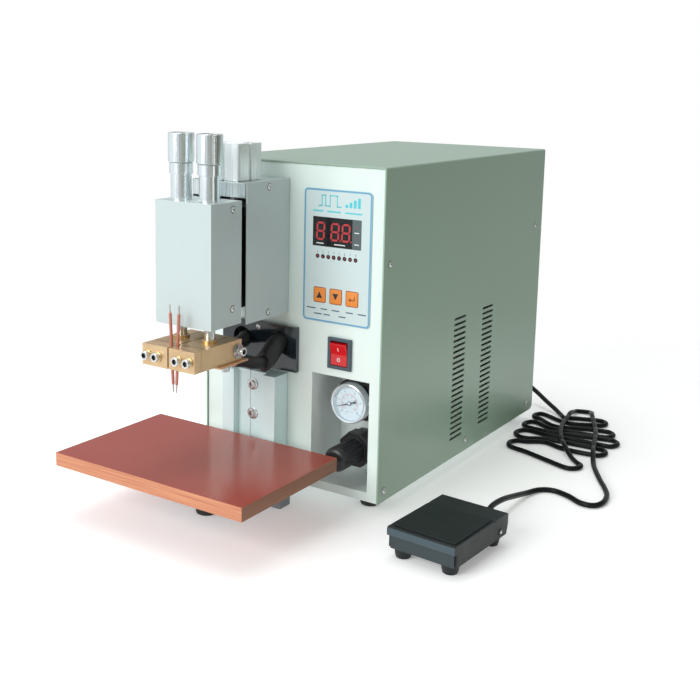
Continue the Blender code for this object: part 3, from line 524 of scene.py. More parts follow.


# ---- Screws of the cover ----
# Nickelled pan-head screws with a cross recess, five to a side, hold the sheet to the frame inside. Each sits
# on a thin dark ring round its head, a painted shadow.

# Worked metal: fine cutting or brushing marks, stretched along the tool's path, with slow tarnish.
worked_metal, given, gives = effect(
    "worked_metal",
    [("Colour", "Color", (0.7, 0.7, 0.7, 1)), ("Tarnish", "Color", (0.5, 0.45, 0.4, 1)),
     ("Tarnish Share", "Float", 0.3), ("Stretch", "Vector", (1.0, 1.0, 1.0)), ("Mark Depth", "Float", 0.1),
     ("Edge", "Color", (0.95, 0.95, 0.95, 1)), ("Edge Share", "Float", 0.4), ("Roughness", "Float", 0.3)],
    [("Colour", "Color"), ("Roughness", "Float"), ("Normal", "Vector")],
)
spot = add(worked_metal, "TexCoord").outputs["Object"]
pulled = add(worked_metal, "VectorMath", {0: spot, 1: given["Stretch"]}, operation="MULTIPLY").outputs[0]
marks = add(worked_metal, "TexNoise",
            {"Vector": pulled, "Scale": 1.0, "Detail": 4.0, "Roughness": 0.6}).outputs[0]
stain = cloud(worked_metal, spot, 45.0, 0.0, 1.0, 5.0)
coloured = blended(worked_metal, counted(worked_metal, "MULTIPLY", stain, given["Tarnish Share"]),
                   given["Colour"], given["Tarnish"])
line = worked_metal.nodes.new("ShaderNodeGroup")
line.node_tree = edge_line
line.inputs["Width"].default_value = 0.0004
share = counted(worked_metal, "MULTIPLY", line.outputs["Mask"], given["Edge Share"])
worked_metal.links.new(blended(worked_metal, share, coloured, given["Edge"]), gives["Colour"])
swing = add(worked_metal, "MapRange",
            {"Value": marks, "From Min": 0.3, "From Max": 0.7, "To Min": -0.07, "To Max": 0.09})
worked_metal.links.new(counted(worked_metal, "ADD", given["Roughness"], swing.outputs[0]), gives["Roughness"])
bumped = add(worked_metal, "Bump", {"Height": marks, "Strength": given["Mark Depth"], "Distance": 0.0001})
worked_metal.links.new(bumped.outputs[0], gives["Normal"])

SCREW_NICKEL = finish("screw_nickel", (0.78, 0.80, 0.79), 0.26, worked_metal,
                      {"Tarnish": (0.45, 0.45, 0.43, 1), "Stretch": (300.0, 300.0, 300.0)}, metallic=0.75)
# Painted shade: a near-black metal for the walls of screw recesses, and for the painted shadow rings round
# pan heads.
PAINTED_SHADE_BLACK = finish("painted_shade_black", (0.02, 0.022, 0.024), 0.6, worked_metal,
                      {"Tarnish": (0.05, 0.04, 0.03, 1)})


def turned(profile, sides, start=(0, 0, 0), along=(0, 0, 1)):
    """A profile of (radius, height) turned about an axis from start, closed at both ends."""
    mesh = bmesh.new()
    rings = []
    for radius, height in profile:
        if radius < 1e-7:
            rings.append([mesh.verts.new((0.0, 0.0, height))] * sides)
            continue
        spins = [2 * math.pi * k / sides for k in range(sides)]
        rings.append([mesh.verts.new((radius * math.cos(t), radius * math.sin(t), height)) for t in spins])
    for lower, upper in zip(rings, rings[1:]):
        for k in range(sides):
            j = (k + 1) % sides
            corners = []
            for vert in (lower[k], lower[j], upper[j], upper[k]):
                if vert not in corners:
                    corners.append(vert)
            mesh.faces.new(corners)
    for ring in (rings[0], rings[-1]):
        if ring[0] is not ring[1]:
            mesh.faces.new(ring)
    bmesh.ops.recalc_face_normals(mesh, faces=mesh.faces)
    turn = Vector(along).to_track_quat("Z", "Y").to_matrix().to_4x4()
    bmesh.ops.transform(mesh, matrix=Matrix.Translation(start) @ turn, verts=mesh.verts)
    return mesh


def rod(start, end, radius, sides=24):
    run = Vector(end) - Vector(start)
    return turned(((radius, 0.0), (radius, run.length)), sides, start, run)


def block(low, high):
    mesh = bmesh.new()
    bmesh.ops.create_cube(mesh, size=1.0)
    size = [b - a for a, b in zip(low, high)]
    middle = [(a + b) / 2 for a, b in zip(low, high)]
    bmesh.ops.transform(mesh, matrix=Matrix.Translation(middle) @ Matrix.Diagonal((*size, 1.0)),
                        verts=mesh.verts)
    return mesh


def prism(outline, axis, low, high):
    """A flat outline of (first, second) coordinates pushed along X, Y or Z."""
    places = {"X": lambda a, b, t: (t, a, b), "Y": lambda a, b, t: (a, t, b), "Z": lambda a, b, t: (a, b, t)}
    mesh = bmesh.new()
    start = [mesh.verts.new(places[axis](a, b, low)) for a, b in outline]
    end = [mesh.verts.new(places[axis](a, b, high)) for a, b in outline]
    mesh.faces.new(start)
    mesh.faces.new(end)
    for i in range(len(outline)):
        j = (i + 1) % len(outline)
        mesh.faces.new((start[i], start[j], end[j], end[i]))
    bmesh.ops.recalc_face_normals(mesh, faces=mesh.faces)
    return mesh


def shaped(obj, operation, *others):
    """Cuts other meshes from the object, or joins them to it, for good."""
    helpers = []
    for other in others:
        helper = object_of("helper", other, obj.data.materials[0])
        change = obj.modifiers.new("shape", "BOOLEAN")
        change.operation = operation
        change.object = helper
        helpers.append(helper)
    bpy.context.view_layer.update()
    made = bpy.data.meshes.new_from_object(obj.evaluated_get(bpy.context.evaluated_depsgraph_get()))
    obj.modifiers.clear()
    obj.data = made
    made.set_sharp_from_angle(angle=math.radians(35))
    for helper in helpers:
        bpy.data.objects.remove(helper, do_unlink=True)
    return obj


def together(meshes):
    """Several bmeshes as one."""
    whole = bmesh.new()
    for mesh in meshes:
        data = bpy.data.meshes.new("piece")
        mesh.to_mesh(data)
        mesh.free()
        whole.from_mesh(data)
        bpy.data.meshes.remove(data)
    return whole


def screw_mesh(name, profile, recess, skin, recess_reach):
    """A screw head about the origin, its axis along +Z, with its recess cut and its walls blackened as
    painted shade.
    """
    head = object_of(name, turned(profile, 32), skin)
    shaped(head, "DIFFERENCE", *recess)
    data = head.data
    data.materials.append(PAINTED_SHADE_BLACK)
    top = max(vertex.co.z for vertex in data.vertices)
    # The recess walls take the second material, painted shade.
    for face in data.polygons:
        if face.center.xy.length < recess_reach and abs(face.normal.z) < 0.5 and face.center.z < top - 0.0002:
            face.material_index = 1
    bpy.data.objects.remove(head, do_unlink=True)
    return data


def fixed(name, data, place, axis, body, slot_name, spin=0.0):
    """Sets a shared mesh down in the cabinet's frame with its +Z along an axis, and fixes it to a body."""
    made = bpy.data.objects.new(name, data)
    facing = Vector(axis).to_track_quat("Z", "Y").to_matrix().to_4x4()
    made.matrix_world = Matrix.Translation(CORNER + Vector(place)) @ facing @ Matrix.Rotation(spin, 4, "Z")
    bpy.context.scene.collection.objects.link(made)
    return goes_with(made, body, slot_name)


def dome(radius, height, steps=5):
    """The profile of a low dome that stands on a short straight side."""
    side = height * 0.25
    return [(radius, 0.0), (radius, side)] + [
        (radius * math.cos(math.pi / 2 * k / steps) if k < steps else 0.0,
         side + (height - side) * math.sin(math.pi / 2 * k / steps))
        for k in range(1, steps + 1)
    ]


cross = [block((-0.0014, -0.00028, 0.0006), (0.0014, 0.00028, 0.003)),
         block((-0.00028, -0.0014, 0.0006), (0.00028, 0.0014, 0.003))]
PAN_HEAD = screw_mesh("pan_head", dome(0.0028, 0.0017), cross, SCREW_NICKEL, 0.002)
# Painted shadow: a thin dark ring just round each pan head.
painted_shadow_ring_profile = ((0.0020, 0.00002), (0.0033, 0.00002), (0.0035, 0.00016), (0.0020, 0.00016))
painted_shadow_ring = object_of("painted_shadow_ring", turned(painted_shadow_ring_profile, 32), PAINTED_SHADE_BLACK)
PAINTED_SHADOW_RING = painted_shadow_ring.data
bpy.data.objects.remove(painted_shadow_ring, do_unlink=True)


def pan_screw(name, place, axis, body, spin=0.0):
    """A pan-head screw on a thin dark ring, its painted shadow."""
    fixed(f"{name}_dimple", PAINTED_SHADOW_RING, place, axis, body, "black_plastic")
    return fixed(name, PAN_HEAD, place, axis, body, "nickel", spin)


cover_screws = ((0.0113, 0.2435), (0.357, 0.244), (0.0114, 0.024), (0.1886, 0.025), (0.357, 0.025))
random.seed(5)
for side, x, outward in (("left", 0.0, -1), ("right", WIDTH, 1)):
    for number, (y, z) in enumerate(cover_screws):
        pan_screw(f"cover_screw_{side}_{number}", (x, y, z), (outward, 0, 0), "cabinet",
                  random.uniform(0.0, 1.5))


# ---- Front, base and back ----
# One sheet of steel is bent into the front panel, the floor and the back panel, with its windows punched
# before bending. Its coat is paler than the cover's, which is darkened as painted shade, and the cover goes
# on over it.

PANEL_COAT = finish(
    "panel_coat", (0.76, 0.87, 0.83), 0.24, sprayed_coat,
    {"Shade": (0.735, 0.845, 0.805, 1), "Edge": (0.90, 0.97, 0.94, 1), "Edge Share": 0.6, "Peel Depth": 0.04},
    coat=0.3, coat_roughness=0.10,
)


def refined(node, name, skin, width, body, slot_name, segments=2):
    """The solid of a node again, as clean flat faces with its edges eased."""
    mesh = bmesh.new()
    mesh.from_mesh(nodes[node].data)
    bmesh.ops.remove_doubles(mesh, verts=mesh.verts, dist=1e-6)
    bmesh.ops.dissolve_limit(mesh, angle_limit=math.radians(0.5), verts=mesh.verts, edges=mesh.edges)
    bmesh.ops.translate(mesh, vec=-CORNER, verts=mesh.verts)
    for face in mesh.faces:
        face.material_index = 0
    made = object_of(name, mesh, skin)
    if made.data.has_custom_normals:
        made.data.attributes.remove(made.data.attributes["custom_normal"])
    eased(made, width, segments)
    return goes_with(made, body, slot_name, node)


refined("chassis", "front_base_and_back_sheet", PANEL_COAT, 0.0004, "cabinet", "panel_paint")


# ---- Feet of the cabinet ----
# Four turned rubber buffers with a dished underside, one near each corner. Each is held by a steel screw
# up into the base.

FOOT_RUBBER = finish("foot_rubber", (0.015, 0.015, 0.016), 0.62, moulded_skin,
                     {"Dust Share": 0.3, "Grain Scale": 700.0, "Grain Depth": 0.3})
foot_profile = ((0.0030, 0.0035), (0.0040, 0.0004), (0.0048, 0.0), (0.0086, 0.0), (0.0094, 0.0006),
                (0.0099, 0.0022), (0.0100, 0.0110), (0.0096, 0.0124), (0.0088, 0.0127))
for side, x in (("left", 0.024), ("right", WIDTH - 0.024)):
    for end, y in (("front", 0.028), ("rear", DEPTH - 0.028)):
        foot = object_of(f"rubber_foot_{end}_{side}", turned(foot_profile, 40, (x, y, 0)), FOOT_RUBBER)
        goes_with(foot, "cabinet", "rubber", f"foot_{end}_{side}")


# ---- Recess for the air controls ----
# A box folded from thinner sheet and screwed behind the window in the front panel, so that the gauge and
# the regulator stand back from the front.

# Painted light: the box has the front panel's paint, coloured paler here to light walls that stand in shade.
RECESS_COAT_PAINTED_LIGHT = finish(
    "recess_coat_painted_light", (0.92, 1.0, 0.98), 0.30, sprayed_coat,
    {"Shade": (0.87, 0.95, 0.92, 1), "Edge": (0.9, 0.97, 0.94, 1), "Peel Depth": 0.05},
)
refined("regulator_box", "recess_sheet", RECESS_COAT_PAINTED_LIGHT, 0.0003, "cabinet", "panel_paint")


# ---- Pressure gauge ----
# A 40 mm dial gauge on a black moulded block: a pressed steel case with a bright rim, a printed dial under
# a clear lens, and an enamelled pointer on a small hub.

GAUGE = Vector((0.1687, 0.008, 0.103))
RIM = 0.0199
MOUNT_FRONT, RECESS_WALL = 0.0215, 0.0556
BRIGHT_RIM = finish("gauge_rim", (0.76, 0.84, 0.88), 0.26, worked_metal,
                    {"Tarnish Share": 0.1, "Stretch": (40.0, 40.0, 40.0), "Mark Depth": 0.03}, metallic=0.65)
rim_profile = ((RIM - 0.0032, 0.0040), (RIM - 0.0031, 0.0012), (RIM - 0.0024, 0.0002), (RIM - 0.0015, 0.0),
               (RIM - 0.0004, 0.0006), (RIM, 0.0020), (RIM, 0.0092), (RIM - 0.0006, 0.0100), (0.0062, 0.0112),
               (0.0060, 0.0137), (0.0, 0.0137))
case = object_of("gauge_rim_and_case", turned(rim_profile, 72, GAUGE, (0, 1, 0)), BRIGHT_RIM)
goes_with(case, "cabinet", "chrome", "gauge_case")
AIR_BLACK = finish("regulator_plastic", (0.010, 0.011, 0.013), 0.33, moulded_skin,
                   {"Dust Share": 0.12, "Grain Scale": 1200.0, "Grain Depth": 0.14})
corners = ((0.018, 0.014), (0.014, 0.018), (-0.014, 0.018), (-0.018, 0.014), (-0.018, -0.014),
           (-0.014, -0.018),
           (0.014, -0.018), (0.018, -0.014))
mount = prism([(GAUGE.x + a, GAUGE.z + b) for a, b in corners], "Y", MOUNT_FRONT, RECESS_WALL)
mount = object_of("gauge_mounting_block", mount, AIR_BLACK)
SLOT_WIDTH, SLOT_PITCH = 0.0025, 0.0065
slots = []
for k in range(4):
    slot_x = GAUGE.x - 0.013 + SLOT_PITCH * k
    slots.append(block((slot_x, 0.0210, 0.089), (slot_x + SLOT_WIDTH, 0.0222, 0.117)))
shaped(mount, "DIFFERENCE", *slots)
eased(mount, 0.0008, 3)
goes_with(mount, "cabinet", "black_plastic")


def printed(name, colour, roughness=0.45):
    """Ink or film: one colour, faintly mottled, as screen printing lays it down."""
    return finish(name, colour, roughness, moulded_skin,
                  {"Dust Share": 0.0, "Grain Scale": 2500.0, "Grain Depth": 0.05})


DIAL_WHITE = printed("dial_face", (0.72, 0.87, 0.93))
DIAL_GREY = printed("dial_figures", (0.05, 0.10, 0.16))
DIAL_RED = printed("dial_inner_scale", (0.62, 0.09, 0.11))
dial_y = GAUGE.y + 0.0039
face_profile = ((0.0, 0.0), (RIM - 0.00325, 0.0), (RIM - 0.00325, 0.0003), (0.0, 0.0003))
dial = object_of("gauge_dial", turned(face_profile, 72, (GAUGE.x, dial_y - 0.0003, GAUGE.z), (0, 1, 0)),
                 DIAL_WHITE)
goes_with(dial, "cabinet", "overlay_film")


def on_panel(shapes, front, thick=0.00005):
    """Flat shapes of (x, z) corners standing just proud of a face that looks towards the front."""
    return together([prism(shape, "Y", front - thick, front) for shape in shapes])


def stroke(start, end, width):
    """A straight printed line as four corners."""
    a, b = Vector(start), Vector(end)
    side = (b - a).normalized().orthogonal() * width / 2
    return [tuple(p) for p in (a + side, b + side, b - side, a - side)]


def polar(angle, radius, centre):
    return (centre[0] + radius * math.cos(angle), centre[1] + radius * math.sin(angle))


def arc_band(centre, inner, outer, first, last, steps=40):
    """A band between two radii, as short four-cornered shapes laid end to end."""
    turns = [math.radians(first + (last - first) * k / steps) for k in range(steps + 1)]
    return [
        [polar(a, inner, centre), polar(b, inner, centre), polar(b, outer, centre), polar(a, outer, centre)]
        for a, b in zip(turns, turns[1:])
    ]


def figures(marks, front):
    """Numbers as thin raised print. Each mark is (text, x, z, height)."""
    shapes = []
    for text, x, z, height in marks:
        letters = bpy.data.curves.new("figure", "FONT")
        letters.body = text
        letters.align_x, letters.align_y = "CENTER", "CENTER"
        letters.size = height / 0.7
        letters.extrude = 0.00002
        letters.resolution_u = 3
        written = bpy.data.objects.new("figure", letters)
        bpy.context.scene.collection.objects.link(written)
        bpy.context.view_layer.update()
        data = bpy.data.meshes.new_from_object(written.evaluated_get(bpy.context.evaluated_depsgraph_get()))
        shape = bmesh.new()
        shape.from_mesh(data)
        upright = Matrix.Translation((x, front, z)) @ Matrix.Rotation(math.pi / 2, 4, "X")
        bmesh.ops.transform(shape, matrix=upright, verts=shape.verts)
        shapes.append(shape)
        bpy.data.objects.remove(written, do_unlink=True)
        bpy.data.curves.remove(letters)
        bpy.data.meshes.remove(data)
    return together(shapes)


def scale_angle(share):
    """The dial's angle, from 225 degrees at nothing, clockwise through 270 at full scale."""
    return math.radians(225 - 270 * share)


middle = (GAUGE.x, GAUGE.z)
ticks = []
for k in range(51):
    major = k % 10 == 0
    inner = 0.0138 if major else (0.0143 if k % 5 == 0 else 0.0147)
    turn = scale_angle(k / 50)
    ticks.append(stroke(polar(turn, inner, middle), polar(turn, 0.0155, middle),
                        0.00034 if major else 0.00016))
ticks += arc_band(middle, 0.0155, 0.0157, 225, -45)
mesh = together([on_panel(ticks, dial_y - 0.0003), figures(
    [(str(2 * k), *polar(scale_angle(k / 5), 0.0120, middle), 0.0019) for k in range(6)], dial_y - 0.00035)])
goes_with(object_of("dial_outer_scale", mesh, DIAL_GREY), "cabinet", "black_plastic")
ticks = arc_band(middle, 0.0088, 0.0090, 225, -45)
for k in range(29):
    turn = scale_angle(k / 28)
    ticks.append(stroke(polar(turn, 0.0090, middle), polar(turn, 0.0098 if k % 4 else 0.0102, middle),
                        0.00018))
mesh = together([on_panel(ticks, dial_y - 0.0003), figures(
    [(str(20 * k), *polar(scale_angle(k / 7), 0.0074, middle), 0.0012) for k in range(8)], dial_y - 0.00035)])
goes_with(object_of("dial_inner_scale", mesh, DIAL_RED), "cabinet", "switch_red")
pins = together([turned(dome(0.0008, 0.0007), 16, (GAUGE.x + dx, dial_y - 0.0002, GAUGE.z - 0.0088),
                        (0, -1, 0))
                 for dx in (-0.0030, 0.0026)])
goes_with(object_of("dial_pins", pins, SCREW_NICKEL), "cabinet", "nickel")

rest = math.radians(200)
point, side = Vector((math.cos(rest), math.sin(rest))), Vector((-math.sin(rest), math.cos(rest)))
hub = 0.0020
outline = [point * 0.0150 + side * 0.00012, point * hub + side * 0.00065]
outline += [point * hub * math.cos(math.radians(a)) + side * hub * math.sin(math.radians(a))
            for a in range(30, 151, 15)]
outline += [point * -0.0030 + side * 0.0006, point * -0.0080 + side * 0.0012]
outline += [point * p.dot(point) - side * p.dot(side) for p in reversed(outline)]
needle_shape = [(GAUGE.x + p.x, GAUGE.z + p.y) for p in outline]
NEEDLE_BLUE = printed("needle_enamel", (0.03, 0.06, 0.10), 0.35)
needle = object_of("pointer", prism(needle_shape, "Y", 0.0100, 0.0104), NEEDLE_BLUE)
goes_with(needle, "gauge_pointer", "black_plastic", "gauge_needle")
cap = object_of("pointer_cap", turned(dome(0.0015, 0.0009), 24, (GAUGE.x, 0.0100, GAUGE.z), (0, -1, 0)),
                BRIGHT_RIM)
goes_with(cap, "gauge_pointer", "chrome")

LENS_CLEAR, lens_tree, lens_shader = plain("gauge_lens", (0.90, 0.96, 1.0), 0.04)
lens_spot = add(lens_tree, "TexCoord").outputs["Object"]
lens_tree.links.new(cloud(lens_tree, lens_spot, 300.0, 0.03, 0.07), lens_shader.inputs["Alpha"])
lens_profile = ((0.0, 0.0), (RIM - 0.0034, 0.00035), (RIM - 0.0031, 0.0005), (RIM - 0.0031, 0.0008),
                (0.0, 0.0005))
lens = object_of("gauge_lens", turned(lens_profile, 72, (GAUGE.x, GAUGE.y + 0.0005, GAUGE.z), (0, 1, 0)),
                 LENS_CLEAR, 60)
goes_with(lens, "cabinet", "chrome")


# ---- Air regulator ----
# A small black regulator on the wall of the recess: a moulded body, an eight-sided bonnet nut, and a ribbed
# knob on a steel screw. The knob pulls out to unlock it and turns to set the pressure.

VALVE = Vector((0.1687, 0.0, 0.053))


def octagon(radius, first=22.5):
    return [polar(math.radians(first + 45 * k), radius, (VALVE.x, VALVE.z)) for k in range(8)]


parts = object_of("regulator_body_moulding", prism(octagon(0.0185), "Y", 0.0223, 0.0360), AIR_BLACK)
shaped(parts, "UNION",
       block((VALVE.x - 0.012, 0.032, VALVE.z - 0.012), (VALVE.x + 0.012, RECESS_WALL, VALVE.z + 0.012)))
shaped(parts, "DIFFERENCE", rod((VALVE.x, 0.010, VALVE.z), (VALVE.x, 0.0315, VALVE.z), 0.0034))
eased(parts, 0.0008, 3)
goes_with(parts, "cabinet", "black_plastic", "regulator_body")

KNOB_RADIUS = 0.0123
ribs, fine = 16, 8
grip = []
for k in range(ribs * fine):
    turn = 2 * math.pi * k / (ribs * fine)
    wave = 0.5 + 0.5 * math.cos(ribs * turn)
    grip.append(polar(turn, KNOB_RADIUS - 0.0010 * (1 - wave ** 0.5), (VALVE.x, VALVE.z)))
knob = object_of("regulator_grip", prism(grip, "Y", -0.0065, 0.0205), AIR_BLACK)
cap_profile = ((0.0, 0.0), (0.0070, 0.0002), (0.0095, 0.0007), (0.0112, 0.0019), (0.0121, 0.0036),
               (KNOB_RADIUS, 0.0050),
               (KNOB_RADIUS, 0.0082), (0.0117, 0.0086), (0.0117, 0.0100))
shaped(knob, "UNION", turned(cap_profile, 64, (VALVE.x, -0.015, VALVE.z), (0, 1, 0)))
shaped(knob, "DIFFERENCE", rod((VALVE.x, -0.0075, VALVE.z), (VALVE.x, 0.030, VALVE.z), 0.0034))
eased(knob, 0.00025, 2, 40)
goes_with(knob, "regulator_handle", "black_plastic", "regulator_knob")
collar = object_of("regulator_lock_ring", turned(
    ((0.0118, 0.0), (0.0134, 0.0002), (0.0136, 0.0010), (0.0136, 0.0014)), 64,
    (VALVE.x, 0.0208, VALVE.z), (0, 1, 0)), AIR_BLACK)
goes_with(collar, "cabinet", "black_plastic")


# ---- Control label ----
# A film printed on its rear side and stuck to the panel, over the display and lamps of the board behind it:
# blue border, dark display window, a row of lamps, and three raised keys.

FILM = finish("label_film", (0.60, 0.72, 0.72), 0.32, moulded_skin,
              {"Dust Share": 0.0, "Grain Scale": 1800.0, "Grain Depth": 0.06})
refined("control_overlay", "label_sheet", FILM, 0.0001, "cabinet", "overlay_film", 1)
LABEL_LOW, LABEL_HIGH = (0.120, 0.182), (0.195, 0.3095)
LABEL_FRONT = 0.0003


def rounded(low, high, radius, steps=6):
    """The outline of a rectangle with round corners."""
    corners = (
        (high[0] - radius, high[1] - radius, 0.0), (low[0] + radius, high[1] - radius, 0.5),
        (low[0] + radius, low[1] + radius, 1.0), (high[0] - radius, low[1] + radius, 1.5),
    )
    return [
        polar(math.pi * (turn + 0.5 * k / steps), radius, (x, z))
        for x, z, turn in corners for k in range(steps + 1)
    ]


def outline_band(outer, inner):
    """The band between two outlines with as many corners each, as four-cornered shapes."""
    count = len(outer)
    return [[outer[k], outer[(k + 1) % count], inner[(k + 1) % count], inner[k]] for k in range(count)]


def inset(low, high, by):
    return (low[0] + by, low[1] + by), (high[0] - by, high[1] - by)


LABEL_BLUE = printed("label_blue", (0.14, 0.38, 0.57))
border = outline_band(rounded(*inset(LABEL_LOW, LABEL_HIGH, 0.0002), 0.0040),
                      rounded(*inset(LABEL_LOW, LABEL_HIGH, 0.0019), 0.0026))
goes_with(object_of("label_border", on_panel(border, LABEL_FRONT), LABEL_BLUE), "cabinet", "overlay_film")

LABEL_CYAN = printed("label_cyan", (0.08, 0.58, 0.66))
pulse = [(0.1365, 0.2935), (0.1400, 0.2935), (0.1400, 0.3035), (0.1440, 0.3035), (0.1440, 0.2935),
         (0.1490, 0.2935),
         (0.1490, 0.3035), (0.1570, 0.3035), (0.1570, 0.2935), (0.1610, 0.2935)]
strokes = [stroke(a, b, 0.0011) for a, b in zip(pulse, pulse[1:])]
strokes += [rounded((x - 0.0006, z - 0.0006), (x + 0.0006, z + 0.0006), 0.0005, 3) for x, z in pulse]
strokes += [rounded((0.1660 + 0.0045 * k, 0.2935), (0.1690 + 0.0045 * k, 0.2965 + 0.0022 * k), 0.0006, 3)
            for k in range(4)]
for start, end in ((0.1300, 0.1415), (0.1460, 0.1610), (0.1655, 0.1845)):
    strokes.append(stroke((start, 0.2885), (end, 0.2885), 0.0014))
goes_with(object_of("label_pulse_symbol", on_panel(strokes, LABEL_FRONT), LABEL_CYAN), "cabinet",
          "overlay_film")

DISPLAY_BLACK = finish("display_window", (0.012, 0.012, 0.014), 0.12, moulded_skin,
                       {"Dust Share": 0.0, "Grain Scale": 60.0, "Grain Depth": 0.02}, coat=0.6,
                       coat_roughness=0.04)
WINDOW_LOW, WINDOW_HIGH = (0.1303, 0.2550), (0.1840, 0.2830)
pane = prism(rounded(WINDOW_LOW, WINDOW_HIGH, 0.0006, 3), "Y", LABEL_FRONT - 0.0001, LABEL_FRONT)
goes_with(object_of("display_pane", pane, DISPLAY_BLACK), "cabinet", "black_sheet")


def seven_bars(x, z, width, height):
    """The seven bars of one figure, a little slanted, with pointed ends."""
    thick, lean = 0.0018, 0.10
    corners = {"tl": (0, 1), "tr": (1, 1), "ml": (0, 0.5), "mr": (1, 0.5), "bl": (0, 0), "br": (1, 0)}
    spots = {k: Vector((x + a * width + lean * b * height * 0.5, z + b * height))
             for k, (a, b) in corners.items()}
    bars = []
    for first, last in (("tl", "tr"), ("ml", "mr"), ("bl", "br"), ("tl", "ml"), ("tr", "mr"), ("ml", "bl"),
                        ("mr", "br")):
        a, b = spots[first], spots[last]
        run = (b - a).normalized()
        off = run.orthogonal() * thick / 2
        a, b = a + run * 0.0005, b - run * 0.0005
        bars.append([tuple(p) for p in (a, a + run * 0.0007 + off, b - run * 0.0007 + off, b,
                                        b - run * 0.0007 - off, a + run * 0.0007 - off)])
    return bars


def lamp_material(name, colour, strength):
    made, tree, shader = plain(name, colour, 0.25)
    spot = add(tree, "TexCoord").outputs["Object"]
    glow = blended(tree, cloud(tree, spot, 400.0, 0.0, 0.5), (*colour, 1.0),
                   (*[c * 0.6 for c in colour], 1.0))
    tree.links.new(glow, shader.inputs["Base Color"])
    tree.links.new(glow, shader.inputs["Emission Color"])
    shader.inputs["Emission Strength"].default_value = strength
    return made


DIGIT_RED = lamp_material("digit_red", (0.48, 0.045, 0.055), 0.30)
bars = [bar for x in (0.1347, 0.1508, 0.1628) for bar in seven_bars(x, 0.2618, 0.0078, 0.0155)]
bars += [rounded((x, 0.2610), (x + 0.0014, 0.2624), 0.0006, 3) for x in (0.1604, 0.1722)]
goes_with(object_of("display_figures", on_panel(bars, LABEL_FRONT - 0.0001), DIGIT_RED), "cabinet",
          "switch_red")
LABEL_WHITE = printed("label_white", (0.75, 0.78, 0.78))
DISPLAY_GREY = printed("display_side_strip", (0.10, 0.135, 0.14), 0.2)
strip = prism(rounded((0.1742, 0.2553), (0.1838, 0.2827), 0.0004, 3), "Y", LABEL_FRONT - 0.00014,
              LABEL_FRONT - 0.0001)
goes_with(object_of("display_side_strip", strip, DISPLAY_GREY), "cabinet", "black_sheet")
dashes = [stroke((0.1345, 0.2578), (0.1425, 0.2578), 0.0010),
          stroke((0.1545, 0.2578), (0.1665, 0.2578), 0.0010),
          stroke((0.1765, 0.2708), (0.1815, 0.2708), 0.0009),
          stroke((0.1765, 0.2598), (0.1815, 0.2598), 0.0009)]
goes_with(object_of("display_dashes", on_panel(dashes, LABEL_FRONT - 0.00014), LABEL_WHITE), "cabinet",
          "overlay_film")

LAMP_DARK = finish("lamp_hole", (0.020, 0.008, 0.010), 0.30, moulded_skin, {"Dust Share": 0.0})
LAMP_RED = lamp_material("lamp_red", (0.34, 0.06, 0.07), 0.20)
lamp_spots = [(0.1360 + (0.1783 - 0.1360) * k / 7, 0.2453) for k in range(8)]
holes = [rounded((x - 0.0021, z - 0.0021), (x + 0.0021, z + 0.0021), 0.00209, 6) for x, z in lamp_spots]
goes_with(object_of("lamp_holes", on_panel(holes, LABEL_FRONT), LAMP_DARK), "cabinet", "black_plastic")
lamp_spots += [(0.1790, 0.2760), (0.1790, 0.2650)]
domes = [turned(dome(0.0008, 0.0006), 20, (x, LABEL_FRONT - 0.00005, z), (0, -1, 0)) for x, z in lamp_spots]
goes_with(object_of("lamps", together(domes), LAMP_RED), "cabinet", "switch_red")
LABEL_GREY = printed("label_grey", (0.16, 0.28, 0.33))
numbers = figures([(str(k + 1), x, 0.2496, 0.0024) for k, (x, _) in enumerate(lamp_spots[:8])],
                  LABEL_FRONT - 0.00003)
goes_with(object_of("lamp_numbers", numbers, LABEL_GREY), "cabinet", "overlay_film")
rules = []
for z, starts in ((0.1945, (0.1245, 0.1405, 0.1530, 0.1690, 0.1820)), (0.1895, (0.1330, 0.1440, 0.1610))):
    rules += [stroke((x, z), (x + random.uniform(0.0070, 0.0105), z), 0.0011) for x in starts]
goes_with(object_of("label_rules", on_panel(rules, LABEL_FRONT), DIAL_GREY), "cabinet", "overlay_film")


# ---- Keys ----
# Three domed film keys, printed orange with a dark outline: up, down and set. Each is embossed in the label
# and gives way by a fraction of a millimetre.

